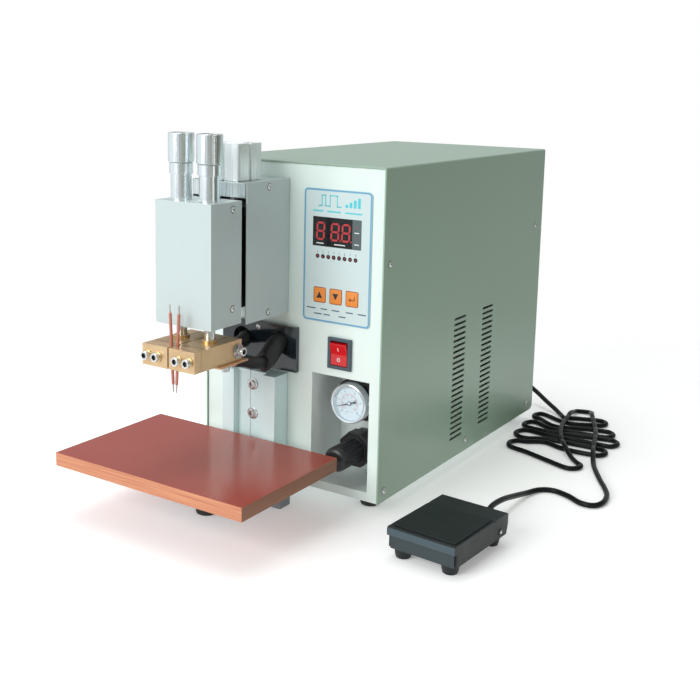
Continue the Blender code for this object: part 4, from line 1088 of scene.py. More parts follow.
KEY_FILM = finish("key_film", (0.78, 0.25, 0.035), 0.38, moulded_skin,
                  {"Dust Share": 0.0, "Grain Scale": 1600.0, "Grain Depth": 0.10})
KEY_LINE = printed("key_outline", (0.22, 0.045, 0.012))
KEY_BLACK = printed("key_symbol", (0.02, 0.02, 0.03))
KEY_Z, KEY_HALF = 0.2080, (0.00645, 0.00695)
triangle = [(-0.0033, -0.0030), (0.0033, -0.0030), (0.0, 0.0033)]
hook = [stroke((0.0030, 0.0026), (0.0030, -0.0008), 0.0009),
        stroke((0.0030, -0.0008), (-0.0018, -0.0008), 0.0009),
        [(-0.0036, -0.0008), (-0.0012, 0.0010), (-0.0012, -0.0026)]]
symbols = {"up": [triangle], "down": [[(-x, -z) for x, z in triangle]], "set": hook}
for (name, shapes), x in zip(symbols.items(), (0.1392, 0.1573, 0.1754)):
    low, high = (x - KEY_HALF[0], KEY_Z - KEY_HALF[1]), (x + KEY_HALF[0], KEY_Z + KEY_HALF[1])
    rings = [
        (rounded(low, high, 0.0012), 0.0009), (rounded(low, high, 0.0012), 0.00005),
        (rounded(*inset(low, high, 0.0004), 0.0011), -0.0002),
        (rounded(*inset(low, high, 0.0012), 0.0009), -0.0004),
    ]
    mesh = bmesh.new()
    loops = [[mesh.verts.new((a, y, b)) for a, b in ring] for ring, y in rings]
    for one, two in zip(loops, loops[1:]):
        for k in range(len(one)):
            j = (k + 1) % len(one)
            mesh.faces.new((one[k], one[j], two[j], two[k]))
    mesh.faces.new(loops[0])
    mesh.faces.new(loops[-1])
    bmesh.ops.recalc_face_normals(mesh, faces=mesh.faces)
    key = object_of(f"{name}_key_dome", mesh, KEY_FILM, 60)
    goes_with(key, f"{name}_key", "key_orange", f"key_{name}")
    edge = outline_band(rounded(*inset(low, high, -0.0006), 0.0018),
                        rounded(*inset(low, high, 0.0003), 0.0010))
    goes_with(object_of(f"{name}_key_outline", on_panel(edge, LABEL_FRONT), KEY_LINE), "cabinet",
              "key_orange")
    moved = [[(x + a, KEY_Z + b) for a, b in shape] for shape in shapes]
    goes_with(object_of(f"{name}_key_symbol", on_panel(moved, -0.0004),
                        KEY_BLACK if name != "set" else KEY_LINE),
              f"{name}_key", "black_plastic")


# ---- Mains rocker ----
# A snap-in switch: a moulded slate-grey bezel with a raised lip, and a glossy red rocker that tilts in it,
# marked with a bar and a ring.

BEZEL_GREY = finish("switch_bezel", (0.055, 0.085, 0.11), 0.38, moulded_skin,
                    {"Dust Share": 0.15, "Grain Scale": 1400.0, "Grain Depth": 0.15})
ROCKER_RED = finish("switch_rocker", (0.62, 0.006, 0.010), 0.20, moulded_skin,
                    {"Dust Share": 0.0, "Grain Scale": 500.0, "Grain Depth": 0.04}, coat=0.4,
                    coat_roughness=0.08)
refined("rocker_bezel", "switch_bezel_moulding", BEZEL_GREY, 0.0007, "cabinet", "dark_plastic", 3)
rocker = refined("rocker", "rocker_moulding", ROCKER_RED, 0.0008, "power_rocker", "switch_red", 4)
PIVOT = Vector((0.1634, 0.003, 0.1537))
ring = outline_band(rounded((-0.0018, -0.0018), (0.0018, 0.0018), 0.00179),
                    rounded((-0.0011, -0.0011), (0.0011, 0.0011), 0.00109))
bpy.context.view_layer.update()
sheets = []
for shapes, rise in (([stroke((0, -0.0018), (0, 0.0018), 0.0008)], 0.0048), (ring, -0.0056)):
    _, place, normal, _ = rocker.ray_cast((PIVOT.x, -0.05, PIVOT.z + rise), (0, 1, 0))
    facing = Matrix.Translation(place) @ Matrix.Rotation(-math.asin(normal.z), 4, "X")
    for shape in shapes:
        mark = prism(shape, "Y", -0.00012, 0.0)
        bmesh.ops.transform(mark, matrix=facing, verts=mark.verts)
        sheets.append(mark)
goes_with(object_of("rocker_marks", together(sheets), LABEL_WHITE), "power_rocker", "overlay_film")


# ---- Head slide ----
# The fixed half of the head: a folded steel housing, a ground rail, an aluminium top plate on small posts,
# and a square compact air cylinder whose rod drives the carriage.

HEAD_COAT = finish(
    "head_coat", (0.53, 0.61, 0.61), 0.34, sprayed_coat,
    {"Shade": (0.51, 0.59, 0.59, 1), "Edge": (0.84, 0.90, 0.90, 1), "Edge Share": 0.5, "Peel Depth": 0.05},
    coat=0.15, coat_roughness=0.2,
)
BRUSHED_ALUMINIUM = finish(
    "brushed_aluminium", (0.72, 0.78, 0.79), 0.30, worked_metal,
    {"Tarnish": (0.55, 0.61, 0.61, 1), "Tarnish Share": 0.35, "Stretch": (900.0, 900.0, 25.0),
     "Mark Depth": 0.10},
    metallic=1.0,
)
BLACK_OXIDE = finish(
    "black_oxide", (0.018, 0.018, 0.020), 0.36, worked_metal,
    {"Tarnish": (0.045, 0.035, 0.03, 1), "Tarnish Share": 0.3, "Stretch": (300.0, 300.0, 60.0),
     "Mark Depth": 0.05,
     "Edge": (0.12, 0.12, 0.12, 1)}, metallic=0.6,
)
GROUND_STEEL = finish(
    "ground_steel", (0.56, 0.57, 0.58), 0.22, worked_metal,
    {"Tarnish": (0.40, 0.37, 0.33, 1), "Tarnish Share": 0.25, "Stretch": (60.0, 60.0, 1400.0),
     "Mark Depth": 0.05},
    metallic=1.0,
)
HEAD_X, HEAD_HALF = 0.070, 0.0325
side_outer = HEAD_X + HEAD_HALF
refined("slide_housing", "slide_cover", HEAD_COAT, 0.0007, "cabinet", "head_paint", 3)
refined("top_plate", "cylinder_plate", BRUSHED_ALUMINIUM, 0.0005, "cabinet", "aluminium")
for node, skin in (("slide_rail", GROUND_STEEL), ("piston_rod", GROUND_STEEL), ("carriage", BLACK_OXIDE)):
    refined(node, f"{node}_finished", skin, 0.0003, "head" if node != "slide_rail" else "cabinet",
            "black_anodised" if node == "carriage" else "steel")
for number, (y, z) in enumerate(((-0.0325, 0.3108), (-0.0325, 0.1917))):
    for side, x, outward in (("left", HEAD_X - HEAD_HALF, -1), ("right", side_outer, 1)):
        pan_screw(f"slide_screw_{side}_{number}", (x, y, z), (outward, 0, 0), "cabinet", 0.3 + number)
posts = together([rod((HEAD_X + dx, -0.0640, 0.2965), (HEAD_X + dx, -0.0640, 0.3026), 0.0021, 20)
                  for dx in (-0.020, -0.006, 0.014)])
goes_with(object_of("top_plate_posts", posts, GROUND_STEEL), "cabinet", "steel")

CYLINDER = Vector((HEAD_X, -0.0425, 0.3168))
CYLINDER_HALF, CYLINDER_HIGH = 0.018, 0.3515
body = []
for k in range(4):
    spin = Matrix.Rotation(math.pi / 2 * k, 2)
    for a, b in ((0.0150, -0.0013), (0.0150, 0.0013), (CYLINDER_HALF - 0.0006, 0.0013),
                 (CYLINDER_HALF, 0.0019),
                 (CYLINDER_HALF, 0.0160), (0.0174, 0.0174), (0.0160, CYLINDER_HALF), (0.0019, CYLINDER_HALF),
                 (0.0013, CYLINDER_HALF - 0.0006)):
        p = spin @ Vector((a, b))
        body.append((CYLINDER.x + p.x, CYLINDER.y + p.y))
CLEAR_ANODISED = finish(
    "clear_anodised", (0.94, 0.99, 1.0), 0.30, worked_metal,
    {"Tarnish": (0.78, 0.84, 0.86, 1), "Stretch": (1200.0, 1200.0, 12.0), "Mark Depth": 0.03}, metallic=0.5,
)
barrel = object_of("cylinder_barrel", prism(body, "Z", CYLINDER.z, CYLINDER_HIGH - 0.0006), CLEAR_ANODISED)
BOLT_OFFSET = 0.0128
bores = []
for a in (-1, 1):
    for b in (-1, 1):
        bolt_x, bolt_y = CYLINDER.x + a * BOLT_OFFSET, CYLINDER.y + b * BOLT_OFFSET
        bores.append(rod((bolt_x, bolt_y, 0.345), (bolt_x, bolt_y, 0.36), 0.0021, 20))
shaped(barrel, "DIFFERENCE", rod((*CYLINDER.xy, 0.3490), (*CYLINDER.xy, 0.360), 0.0133, 64),
       rod((*CYLINDER.xy, 0.310), (*CYLINDER.xy, 0.3486), 0.0054), *bores)
eased(barrel, 0.00025)
goes_with(barrel, "cabinet", "aluminium", "air_cylinder")
end_cap = ((0.0, 0.3489), (0.0118, 0.3489), (0.0124, 0.3496), (0.0124, 0.3511), (0.0118, 0.3515),
           (0.0112, 0.3511),
           (0.0100, 0.3509), (0.0, 0.3509))
goes_with(object_of("cylinder_end_cap", turned(end_cap, 64, (*CYLINDER.xy, 0.0)), CLEAR_ANODISED), "cabinet",
          "aluminium")
PORT_Z = (0.3235, 0.3440)
ports = together([turned(((0.0028, 0.0), (0.0034, 0.0003), (0.0034, 0.0012), (0.0020, 0.0014),
                          (0.0018, 0.0006), (0.0, 0.0006)),
                         24, (CYLINDER.x + 0.0075, CYLINDER.y + CYLINDER_HALF - 0.0001, z), (0, 1, 0))
                         for z in PORT_Z])
BRASS_FITTING = finish("brass_fitting", (0.72, 0.55, 0.26), 0.28, worked_metal,
                       {"Tarnish": (0.50, 0.34, 0.14, 1), "Stretch": (200.0, 200.0, 200.0),
                        "Mark Depth": 0.05}, metallic=1.0)
goes_with(object_of("cylinder_ports", ports, BRASS_FITTING), "cabinet", "brass")


# ---- Moving head ----
# A bored aluminium block is bolted to the carriage and rides up and down with it. Its folded steel cover is
# painted like the housing and held by two screws a side.

refined("head_frame", "head_block", BRUSHED_ALUMINIUM, 0.0003, "head", "aluminium")
refined("head_cover", "head_cover_sheet", HEAD_COAT, 0.0007, "head", "head_paint", 3)
for side, x, outward in (("left", HEAD_X - HEAD_HALF, -1), ("right", side_outer, 1)):
    for number, z in enumerate((0.2945, 0.2040)):
        pan_screw(f"head_screw_{side}_{number}", (x, -0.0868, z), (outward, 0, 0), "head", 0.9 + 0.5 * number)


# ---- Spring tubes and pressure knobs ----
# Turned from bar and nickel plated: a slim tube with a collar and engraved marks stands in the head, and a
# tall cap screws down into it onto the spring.

TURNED_NICKEL = finish(
    "turned_nickel", (0.86, 0.92, 0.94), 0.24, worked_metal,
    {"Tarnish": (0.72, 0.78, 0.80, 1), "Tarnish Share": 0.3, "Stretch": (700.0, 700.0, 14.0),
     "Mark Depth": 0.04},
    metallic=1.0,
)
PLUNGER_Y, PLUNGER_OFFSET = -0.100, 0.0165
COVER_TOP = 0.3015
tube_profile = (
    (0.0076, COVER_TOP - 0.0017), (0.0095, COVER_TOP - 0.0017), (0.0095, 0.3248),
    (0.0105, 0.3248), (0.0108, 0.3251), (0.0108, 0.3342), (0.0105, 0.3345), (0.0050, 0.3346),
    (0.0050, 0.3320),
    (0.0076, 0.3315),
)
for side, x in (("left", HEAD_X - PLUNGER_OFFSET), ("right", HEAD_X + PLUNGER_OFFSET)):
    sleeve = object_of(f"sleeve_{side}", turned(tube_profile, 64, (x, PLUNGER_Y, 0.0)), TURNED_NICKEL)
    goes_with(sleeve, "head", "nickel", f"spring_tube_{side}")
    graduations = [
        block((x - 0.0096 * math.sin(t) - 0.00015, PLUNGER_Y - 0.0096 * math.cos(t) - 0.0001, z),
              (x - 0.0096 * math.sin(t) + 0.00015, PLUNGER_Y - 0.0096 * math.cos(t) + 0.0001, z + 0.0012))
        for t, z in ((math.radians(-50), 0.3045 + 0.0022 * k) for k in range(9))
    ]
    goes_with(object_of(f"sleeve_graduations_{side}", together(graduations), DIAL_GREY), "head",
              "black_plastic")
    outline = []
    flutes, fine = 36, 4
    for k in range(flutes * fine):
        turn = 2 * math.pi * k / (flutes * fine)
        outline.append((x + (0.01186 + 0.00004 * math.cos(flutes * turn)) * math.cos(turn),
                        PLUNGER_Y + (0.01186 + 0.00004 * math.cos(flutes * turn)) * math.sin(turn)))
    grip = object_of(f"pressure_knob_{side}", prism(outline, "Z", 0.3360, 0.3605), TURNED_NICKEL)
    rings = ((0.0030, 0.3190), (0.0030, 0.3352), (0.0113, 0.3352), (0.0118, 0.3357), (0.0118, 0.3608),
             (0.0112, 0.3615),
             (0.0106, 0.3615), (0.0104, 0.3611), (0.0, 0.3611))
    shaped(grip, "UNION", turned(rings, 72, (x, PLUNGER_Y, 0.0)))
    goes_with(grip, f"{side}_pressure_knob", "nickel", f"knob_{side}")


# ---- Plungers and their springs ----
# Two ground and chromed steel rods slide in the head and carry one brass arm each. A coil spring above a
# shoulder on each rod pushes it down.

CHROMED_ROD = finish("chromed_rod", (0.72, 0.75, 0.77), 0.12, worked_metal,
                     {"Tarnish Share": 0.1, "Stretch": (20.0, 20.0, 900.0), "Mark Depth": 0.02}, metallic=1.0)
for side in ("left", "right"):
    x = HEAD_X + (PLUNGER_OFFSET if side == "right" else -PLUNGER_OFFSET)
    shaft = ((0.0, 0.1562), (0.0042, 0.1562), (0.0050, 0.1570), (0.0050, 0.2623), (0.0070, 0.2623),
             (0.0070, 0.2650), (0.0, 0.2650))
    goes_with(object_of(f"shaft_{side}", turned(shaft, 40, (x, PLUNGER_Y, 0.0)), CHROMED_ROD),
              f"{side}_electrode_arm", "chrome", f"plunger_{side}")
    coil = refined(f"spring_{side}", f"coil_{side}", GROUND_STEEL, 0.00005, None, "steel", 1)
    coil_low, coil_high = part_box(f"spring_{side}")
    middle = (coil_low + coil_high) / 2
    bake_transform(coil)


# ---- Arms and clamp jaws ----
# Milled brass bars, split from each other by a hair's gap. Each jaw is pulled onto its arm by two socket
# screws, and a third clamps the arm's slit rear end onto its cable lug.

MILLED_BRASS = finish(
    "milled_brass", (0.80, 0.58, 0.34), 0.36, worked_metal,
    {"Tarnish": (0.58, 0.36, 0.20, 1), "Tarnish Share": 0.6, "Stretch": (120.0, 1500.0, 120.0),
     "Mark Depth": 0.16,
     "Edge": (0.95, 0.80, 0.50, 1), "Edge Share": 0.5}, metallic=0.75,
)
LUG_COPPER = finish("lug_copper", (0.74, 0.42, 0.24), 0.32, worked_metal,
                    {"Tarnish": (0.42, 0.20, 0.11, 1), "Tarnish Share": 0.5, "Stretch": (90.0, 900.0, 90.0)},
                    metallic=0.8)
hexagon = [polar(math.pi / 3 * k, 0.0027, (0.0, 0.0)) for k in range(6)]
cap_profile = ((0.0, 0.0), (0.0040, 0.0), (0.0042, 0.0003), (0.0042, 0.0046), (0.0040, 0.0050),
               (0.0034, 0.0052),
               (0.0, 0.0052))
SOCKET_HEAD = screw_mesh("socket_head", cap_profile, [prism(hexagon, "Z", 0.0018, 0.0070)], SCREW_NICKEL,
                         0.003)
ARM_LOW, ARM_HIGH, ARM_BACK, JAW_FRONT = 0.1535, 0.173, -0.071, -0.138
ARM_INNER, ARM_OUTER, JAW_SCREW_Z = 0.0007, 0.0307, 0.1630
for side, sign, screws in (("left", -1, (0.0455, 0.0575)), ("right", 1, (0.0815, 0.0940))):
    body = f"{side}_electrode_arm"
    axis_x = HEAD_X + sign * PLUNGER_OFFSET
    near, far = HEAD_X + sign * ARM_INNER, HEAD_X + sign * ARM_OUTER
    refined(f"arm_{side}", f"brass_arm_{side}", MILLED_BRASS, 0.0005, body, "brass")
    refined(f"jaw_{side}", f"brass_jaw_{side}", MILLED_BRASS, 0.0006, body, "brass", 3)
    for number, x in enumerate(screws):
        fixed(f"jaw_screw_{side}_{number}", SOCKET_HEAD, (x, JAW_FRONT, JAW_SCREW_Z), (0, -1, 0), body,
              "nickel", 0.4 * number)
    washer = ((0.0029, 0.0), (0.0049, 0.0), (0.0050, 0.0002), (0.0050, 0.0009), (0.0048, 0.0010),
              (0.0029, 0.0010))
    washers = together([turned(washer, 32, (x, JAW_FRONT - 0.0001, JAW_SCREW_Z), (0, -1, 0)) for x in screws])
    goes_with(object_of(f"jaw_washers_{side}", washers, BRASS_FITTING), body, "brass")
    low, high = ARM_HIGH - 0.00005, ARM_HIGH + 0.00005
    slit = together([
        block((axis_x - 0.0004, PLUNGER_Y + 0.0080, low), (axis_x + 0.0004, ARM_BACK - 0.0002, high)),
        block((min(near, far) + 0.002, JAW_FRONT + 0.0160, low),
              (max(near, far) - 0.002, JAW_FRONT + 0.0166, high)),
    ])
    goes_with(object_of(f"arm_slit_{side}", slit, BLACK_OXIDE), body, "black_anodised")
    collar_rings = ((0.0053, ARM_HIGH - 0.0005), (0.0073, ARM_HIGH - 0.0005), (0.0074, ARM_HIGH),
                    (0.0074, ARM_HIGH + 0.0019),
                    (0.0070, ARM_HIGH + 0.0023), (0.0053, ARM_HIGH + 0.0023))
    goes_with(object_of(f"plunger_collar_{side}", turned(collar_rings, 48, (axis_x, PLUNGER_Y, 0.0)),
                        BRASS_FITTING),
              body, "brass")
    spot = (far, -0.0765, 0.1625)
    washer = ((0.0030, 0.0), (0.0068, 0.0), (0.0070, 0.0002), (0.0070, 0.0011), (0.0068, 0.0013),
              (0.0052, 0.0013),
              (0.0051, 0.0014), (0.0051, 0.0024), (0.0030, 0.0024))
    goes_with(object_of(f"clamp_washers_{side}", turned(washer, 40, spot, (sign, 0, 0)), GROUND_STEEL), body,
              "steel")
    fixed(f"clamp_screw_{side}", SOCKET_HEAD, (far + sign * 0.0022, *spot[1:]), (sign, 0, 0), body, "nickel",
          0.2)
    lug_wide = sorted((axis_x - sign * 0.004, axis_x + sign * 0.0176))
    lug = block((lug_wide[0], -0.1060, ARM_LOW - 0.0021), (lug_wide[1], -0.0650, ARM_LOW - 0.0001))
    lug_strip = object_of(f"cable_lug_{side}", lug, LUG_COPPER)
    shaped(lug_strip, "UNION", rod((axis_x + 0.001, -0.066, ARM_LOW - 0.006),
                                   (axis_x + 0.001, -0.058, ARM_LOW - 0.0065), 0.0046, 28))
    eased(lug_strip, 0.0003)
    goes_with(lug_strip, body, "brass")
    stud = ((0.0, 0.0), (0.0033, 0.0), (0.0037, 0.0005), (0.0037, 0.0092), (0.0060, 0.0094), (0.0060, 0.0104),
            (0.0, 0.0104))
    goes_with(object_of(f"lug_stud_{side}", turned(stud, 32, (axis_x + 0.0015, -0.0785, ARM_LOW - 0.0122)),
                        GROUND_STEEL),
              body, "steel")


# ---- Electrodes ----
# Copper rods in a thin pink-brown insulating sleeve, bare and ground to a needle at both ends. They lean
# together a little towards their tips, each nipped between its jaw and its arm.

SLEEVED_COPPER = finish(
    "electrode_sleeve", (0.56, 0.20, 0.15), 0.36, worked_metal,
    {"Tarnish": (0.50, 0.20, 0.15, 1), "Tarnish Share": 0.5, "Stretch": (800.0, 800.0, 60.0),
     "Mark Depth": 0.06},
    metallic=0.35,
)
NEEDLE_STEEL = finish("electrode_needle", (0.62, 0.55, 0.53), 0.26, worked_metal,
                      {"Tarnish": (0.48, 0.30, 0.24, 1), "Tarnish Share": 0.6,
                       "Stretch": (500.0, 500.0, 60.0)}, metallic=1.0)
ELECTRODE_Y, ELECTRODE_TOP, ELECTRODE_TIP = -0.12885, 0.2108, 0.1295
for side, sign in (("left", -1), ("right", 1)):
    top = Vector((HEAD_X + sign * 0.0055, ELECTRODE_Y, ELECTRODE_TOP))
    tip = Vector((HEAD_X + sign * 0.0017, ELECTRODE_Y, ELECTRODE_TIP))
    run = top - tip
    length = run.length
    sleeve = ((0.0, 0.0078), (0.0011, 0.0078), (0.00137, 0.0083), (0.0014, 0.0090), (0.0014, length - 0.0100),
              (0.00145, length - 0.0098), (0.00145, length - 0.0090), (0.0011, length - 0.0080),
              (0.0, length - 0.0078))
    body = f"{side}_electrode_arm"
    goes_with(object_of(f"electrode_sleeve_{side}", turned(sleeve, 28, tip, run), SLEEVED_COPPER), body,
              "copper",
              f"electrode_{side}")
    needles = together([
        turned(((0.0, 0.0), (0.00035, 0.0001), (0.00062, 0.0010), (0.00075, 0.0024), (0.00075, 0.0081),
                (0.0, 0.0081)), 20, tip, run),
        turned(((0.0, length - 0.0081), (0.00055, length - 0.0081), (0.00055, length - 0.0014),
                (0.0003, length - 0.0001),
                (0.0, length)), 20, tip, run),
    ])
    goes_with(object_of(f"electrode_needles_{side}", needles, NEEDLE_STEEL), body, "copper")


# ---- Weld cables and their plate ----
# Fine-stranded copper in rubber. The left one wears a ribbed sleeve, the right one a thick smooth boot. Both
# pass through round holes in a glossy black insulating plate.

PLATE_BLACK = finish("insulating_plate", (0.010, 0.018, 0.023), 0.14, moulded_skin,
                     {"Dust": (0.20, 0.24, 0.26, 1), "Dust Share": 0.05, "Grain Scale": 60.0,
                      "Grain Depth": 0.03},
                     coat=0.7, coat_roughness=0.04)
CABLE_RUBBER = finish("weld_cable_rubber", (0.010, 0.012, 0.013), 0.42, moulded_skin,
                      {"Dust Share": 0.18, "Grain Scale": 420.0, "Grain Depth": 0.25})
refined("cable_plate", "insulating_plate", PLATE_BLACK, 0.0003, "cabinet", "black_sheet")
for number, (x, z) in enumerate(((0.0700, 0.1675), (0.0290, 0.1680), (0.0290, 0.1320))):
    pan_screw(f"plate_screw_{number}", (x, -0.0034, z), (0, -1, 0), "cabinet", 0.4 * number)


def swept(points, radii, sides=32):
    """A round body of changing radius along a list of points, closed at both ends."""
    mesh = bmesh.new()
    rings, side = [], Vector((0.0, 0.0, 1.0))
    for k, (point, radius) in enumerate(zip(points, radii)):
        run = (points[min(k + 1, len(points) - 1)] - points[max(k - 1, 0)]).normalized()
        side = (side - run * side.dot(run)).normalized()
        other = run.cross(side)
        spins = [2 * math.pi * j / sides for j in range(sides)]
        rings.append([mesh.verts.new(point + (side * math.cos(t) + other * math.sin(t)) * radius)
                      for t in spins])
    for lower, upper in zip(rings, rings[1:]):
        for j in range(sides):
            mesh.faces.new((lower[j], lower[(j + 1) % sides], upper[(j + 1) % sides], upper[j]))
    mesh.faces.new(rings[0])
    mesh.faces.new(rings[-1])
    bmesh.ops.recalc_face_normals(mesh, faces=mesh.faces)
    return mesh


left_route = along_curve([
    (0.0550, -0.0620, 0.1465), (0.0570, -0.0480, 0.1475), (0.0590, -0.0320, 0.1510),
    (0.0575, -0.0140, 0.1535),
    (0.0510, 0.0000, 0.1540), (0.0470, 0.0180, 0.1540), (0.0460, 0.0390, 0.1540)], 0.0005)
ribbed = [0.0060 + (0.0008 * math.sin(2 * math.pi * k / 6.4) if 16 < k < 118 else 0.0)
          for k in range(len(left_route))]
right_route = along_curve([
    (0.0860, -0.0640, 0.1480), (0.0905, -0.0540, 0.1465), (0.0945, -0.0420, 0.1425),
    (0.0968, -0.0300, 0.1420),
    (0.0962, -0.0180, 0.1485), (0.0950, -0.0080, 0.1540), (0.0945, 0.0060, 0.1560), (0.0940, 0.0390, 0.1560)],
    0.0005)
boot_start = next(k for k, p in enumerate(right_route) if p.y > -0.0330)
booted = [0.0062 if k < boot_start else 0.0094 for k in range(len(right_route))]
for side, points, radii in (("left", left_route, ribbed), ("right", right_route, booted)):
    cable = object_of(f"weld_lead_{side}", swept(points, radii), CABLE_RUBBER, 60)
    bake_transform(cable)
    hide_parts(f"weld_cable_{side}")


# ---- Column ----
# A satin anodised extrusion, bolted to the panel with two button-head screws. A shallow recess runs down
# its front, with a bolt slot and a filling strip in it.

SATIN_ANODISED = finish(
    "column_anodised", (0.76, 0.95, 0.96), 0.46, worked_metal,
    {"Tarnish": (0.66, 0.84, 0.84, 1), "Tarnish Share": 0.35, "Stretch": (1400.0, 1400.0, 20.0),
     "Mark Depth": 0.05,
     "Edge Share": 0.3}, metallic=0.15, specular=0.6,
)
refined("column", "column_extrusion", SATIN_ANODISED, 0.0003, "cabinet", "aluminium")
slot_strip = object_of("column_slot_strip", block((HEAD_X - 0.0025, -0.0126, 0.0560),
                                                  (HEAD_X + 0.0035, -0.0110, 0.1243)), SATIN_ANODISED)
goes_with(slot_strip, "cabinet", "aluminium")
button = ((0.0, 0.0), (0.0042, 0.0), (0.0042, 0.0006), (0.0039, 0.0015), (0.0034, 0.0019), (0.0, 0.0019))
BUTTON_HEAD = screw_mesh("button_head", button, [prism(hexagon, "Z", 0.0005, 0.0040)], SCREW_NICKEL, 0.003)
washer = ((0.0030, 0.0), (0.0058, 0.0), (0.0059, 0.0002), (0.0059, 0.0009), (0.0057, 0.0010),
          (0.0030, 0.0010))
for number, z in enumerate((0.1110, 0.0810)):
    fixed(f"column_screw_{number}", BUTTON_HEAD, (HEAD_X + 0.0005, -0.0139, z), (0, -1, 0), "cabinet",
          "nickel", 0.3 * number)
    goes_with(object_of(f"column_washer_{number}",
                        turned(washer, 36, (HEAD_X + 0.0005, -0.0131, z), (0, -1, 0)), GROUND_STEEL),
              "cabinet", "steel")


# ---- Table and bracket ----
# A 13 mm phenolic board, glossy red brown on its faces and a sawn, layered orange along its edges, on a bent
# steel bracket that stands on a levelling foot.

# Board: a lacquered face, and edges that show the pressed layers, with painted shade on the sides that face
# along X.
pressed_board, given, gives = effect(
    "pressed_board",
    [("Colour", "Color", (0.4, 0.1, 0.08, 1)), ("Sawn", "Color", (0.7, 0.3, 0.15, 1)),
     ("Layer", "Color", (0.6, 0.2, 0.1, 1)), ("Roughness", "Float", 0.2)],
    [("Colour", "Color"), ("Roughness", "Float"), ("Normal", "Vector")],
)
spot = add(pressed_board, "TexCoord").outputs["Object"]
upward_face = add(pressed_board, "SeparateXYZ",
                  {0: add(pressed_board, "NewGeometry").outputs["True Normal"]}).outputs[2]
flat_face = add(pressed_board, "MapRange", {"Value": counted(pressed_board, "ABSOLUTE", upward_face),
                                            "From Min": 0.6, "From Max": 0.8}).outputs[0]
layers = add(pressed_board, "TexNoise", {
    "Vector": add(pressed_board, "VectorMath", {0: spot, 1: (12.0, 12.0, 1900.0)},
                  operation="MULTIPLY").outputs[0],
    "Scale": 1.0, "Detail": 3.0}).outputs[0]
layered = blended(pressed_board, add(pressed_board, "MapRange",
                                     {"Value": layers, "From Min": 0.35, "From Max": 0.65}).outputs[0],
                  given["Sawn"], given["Layer"])
mottled = cloud(pressed_board, spot, 9.0, 0.0, 0.30, 2.0)
faced = blended(pressed_board, mottled, given["Colour"], given["Layer"])
line = pressed_board.nodes.new("ShaderNodeGroup")
line.node_tree = edge_line
line.inputs["Width"].default_value = 0.0010
faced = blended(pressed_board, counted(pressed_board, "MULTIPLY", line.outputs["Mask"], 0.55), faced,
                given["Sawn"])
# Painted shade: the more a face looks along X, the more it is darkened towards dark brown, so the board's
# sides read as in shade.
sideways = add(pressed_board, "SeparateXYZ",
               {0: add(pressed_board, "NewGeometry").outputs["True Normal"]}).outputs[0]
across = counted(pressed_board, "MULTIPLY", counted(pressed_board, "ABSOLUTE", sideways), 0.62)
layered = blended(pressed_board, across, layered, (0.10, 0.05, 0.03, 1))
pressed_board.links.new(blended(pressed_board, flat_face, layered, faced), gives["Colour"])
duller = add(pressed_board, "MapRange", {"Value": flat_face, "To Min": 0.28, "To Max": 0.0}).outputs[0]
uneven = cloud(pressed_board, spot, 30.0, -0.02, 0.05, 4.0)
rough = add(pressed_board, "Math", {0: given["Roughness"], 1: uneven}, operation="ADD").outputs[0]
pressed_board.links.new(counted(pressed_board, "ADD", rough, duller), gives["Roughness"])
bumped = add(pressed_board, "Bump", {"Height": layers, "Strength": 0.04, "Distance": 0.0001})
pressed_board.links.new(bumped.outputs[0], gives["Normal"])

BOARD = finish("phenolic_board", (0.350, 0.050, 0.036), 0.18, pressed_board,
               {"Sawn": (0.66, 0.30, 0.15, 1), "Layer": (0.42, 0.13, 0.075, 1)}, specular=0.45)
TABLE_LOW, TABLE_HIGH = Vector((-0.040, -0.172, 0.049)), Vector((0.180, -0.027, 0.062))
board = object_of("table_board", block(TABLE_LOW, TABLE_HIGH), BOARD)
eased(board, 0.0005, 3)
goes_with(board, "cabinet", "phenolic", "table_plate")
BRACKET_GREY = finish(
    "bracket_paint", (0.22, 0.25, 0.26), 0.42, sprayed_coat,
    {"Shade": (0.17, 0.20, 0.21, 1), "Edge": (0.45, 0.48, 0.49, 1), "Edge Share": 0.5, "Peel Depth": 0.2},
)
refined("table_bracket", "bent_bracket", BRACKET_GREY, 0.0006, "cabinet", "grey_paint")
for number, (x, y) in enumerate(((0.030, -0.055), (0.110, -0.055), (0.030, -0.112), (0.110, -0.112))):
    fixed(f"bracket_screw_{number}", BUTTON_HEAD, (x, y, 0.0428), (0, 0, -1), "cabinet", "nickel",
          0.5 * number)
for number, z in enumerate((0.012, 0.034)):
    for side, x in (("left", HEAD_X - 0.040), ("right", HEAD_X + 0.040)):
        fixed(f"leg_screw_{side}_{number}", BUTTON_HEAD, (x, -0.0379, z), (0, -1, 0), "cabinet", "nickel",
              0.7 * number)
pad = ((0.0, 0.0004), (0.0080, 0.0004), (0.0088, 0.0), (0.0098, 0.0006), (0.0105, 0.0018), (0.0105, 0.0076),
       (0.0098, 0.0092),
       (0.0085, 0.0110), (0.0052, 0.0112), (0.0, 0.0112))
goes_with(object_of("levelling_pad", turned(pad, 48, (HEAD_X, -0.084, 0.0)), FOOT_RUBBER), "cabinet",
          "rubber",
          "levelling_foot")
thread, height = [(0.0, 0.0105)], 0.0105
while height < 0.0426:
    thread += [(0.0040, height), (0.00355, height + 0.00035)]
    height += 0.0007
thread += [(0.0040, 0.0427), (0.0, 0.0427)]
goes_with(object_of("levelling_stud", turned(thread, 32, (HEAD_X, -0.084, 0.0)), GROUND_STEEL), "cabinet",
          "steel")
nut = [polar(math.pi / 3 * k, 0.0075, (HEAD_X, -0.084)) for k in range(6)]
lock_nut = eased(object_of("levelling_nut", prism(nut, "Z", 0.0375, 0.0424), GROUND_STEEL), 0.0004)
goes_with(lock_nut, "cabinet", "steel")


# ---- Foot pedal ----
# A moulded black foot switch: a treadle with a raised pad and a paler lip hangs on a steel pin near its rear,
# over a base on four small rubber cones.

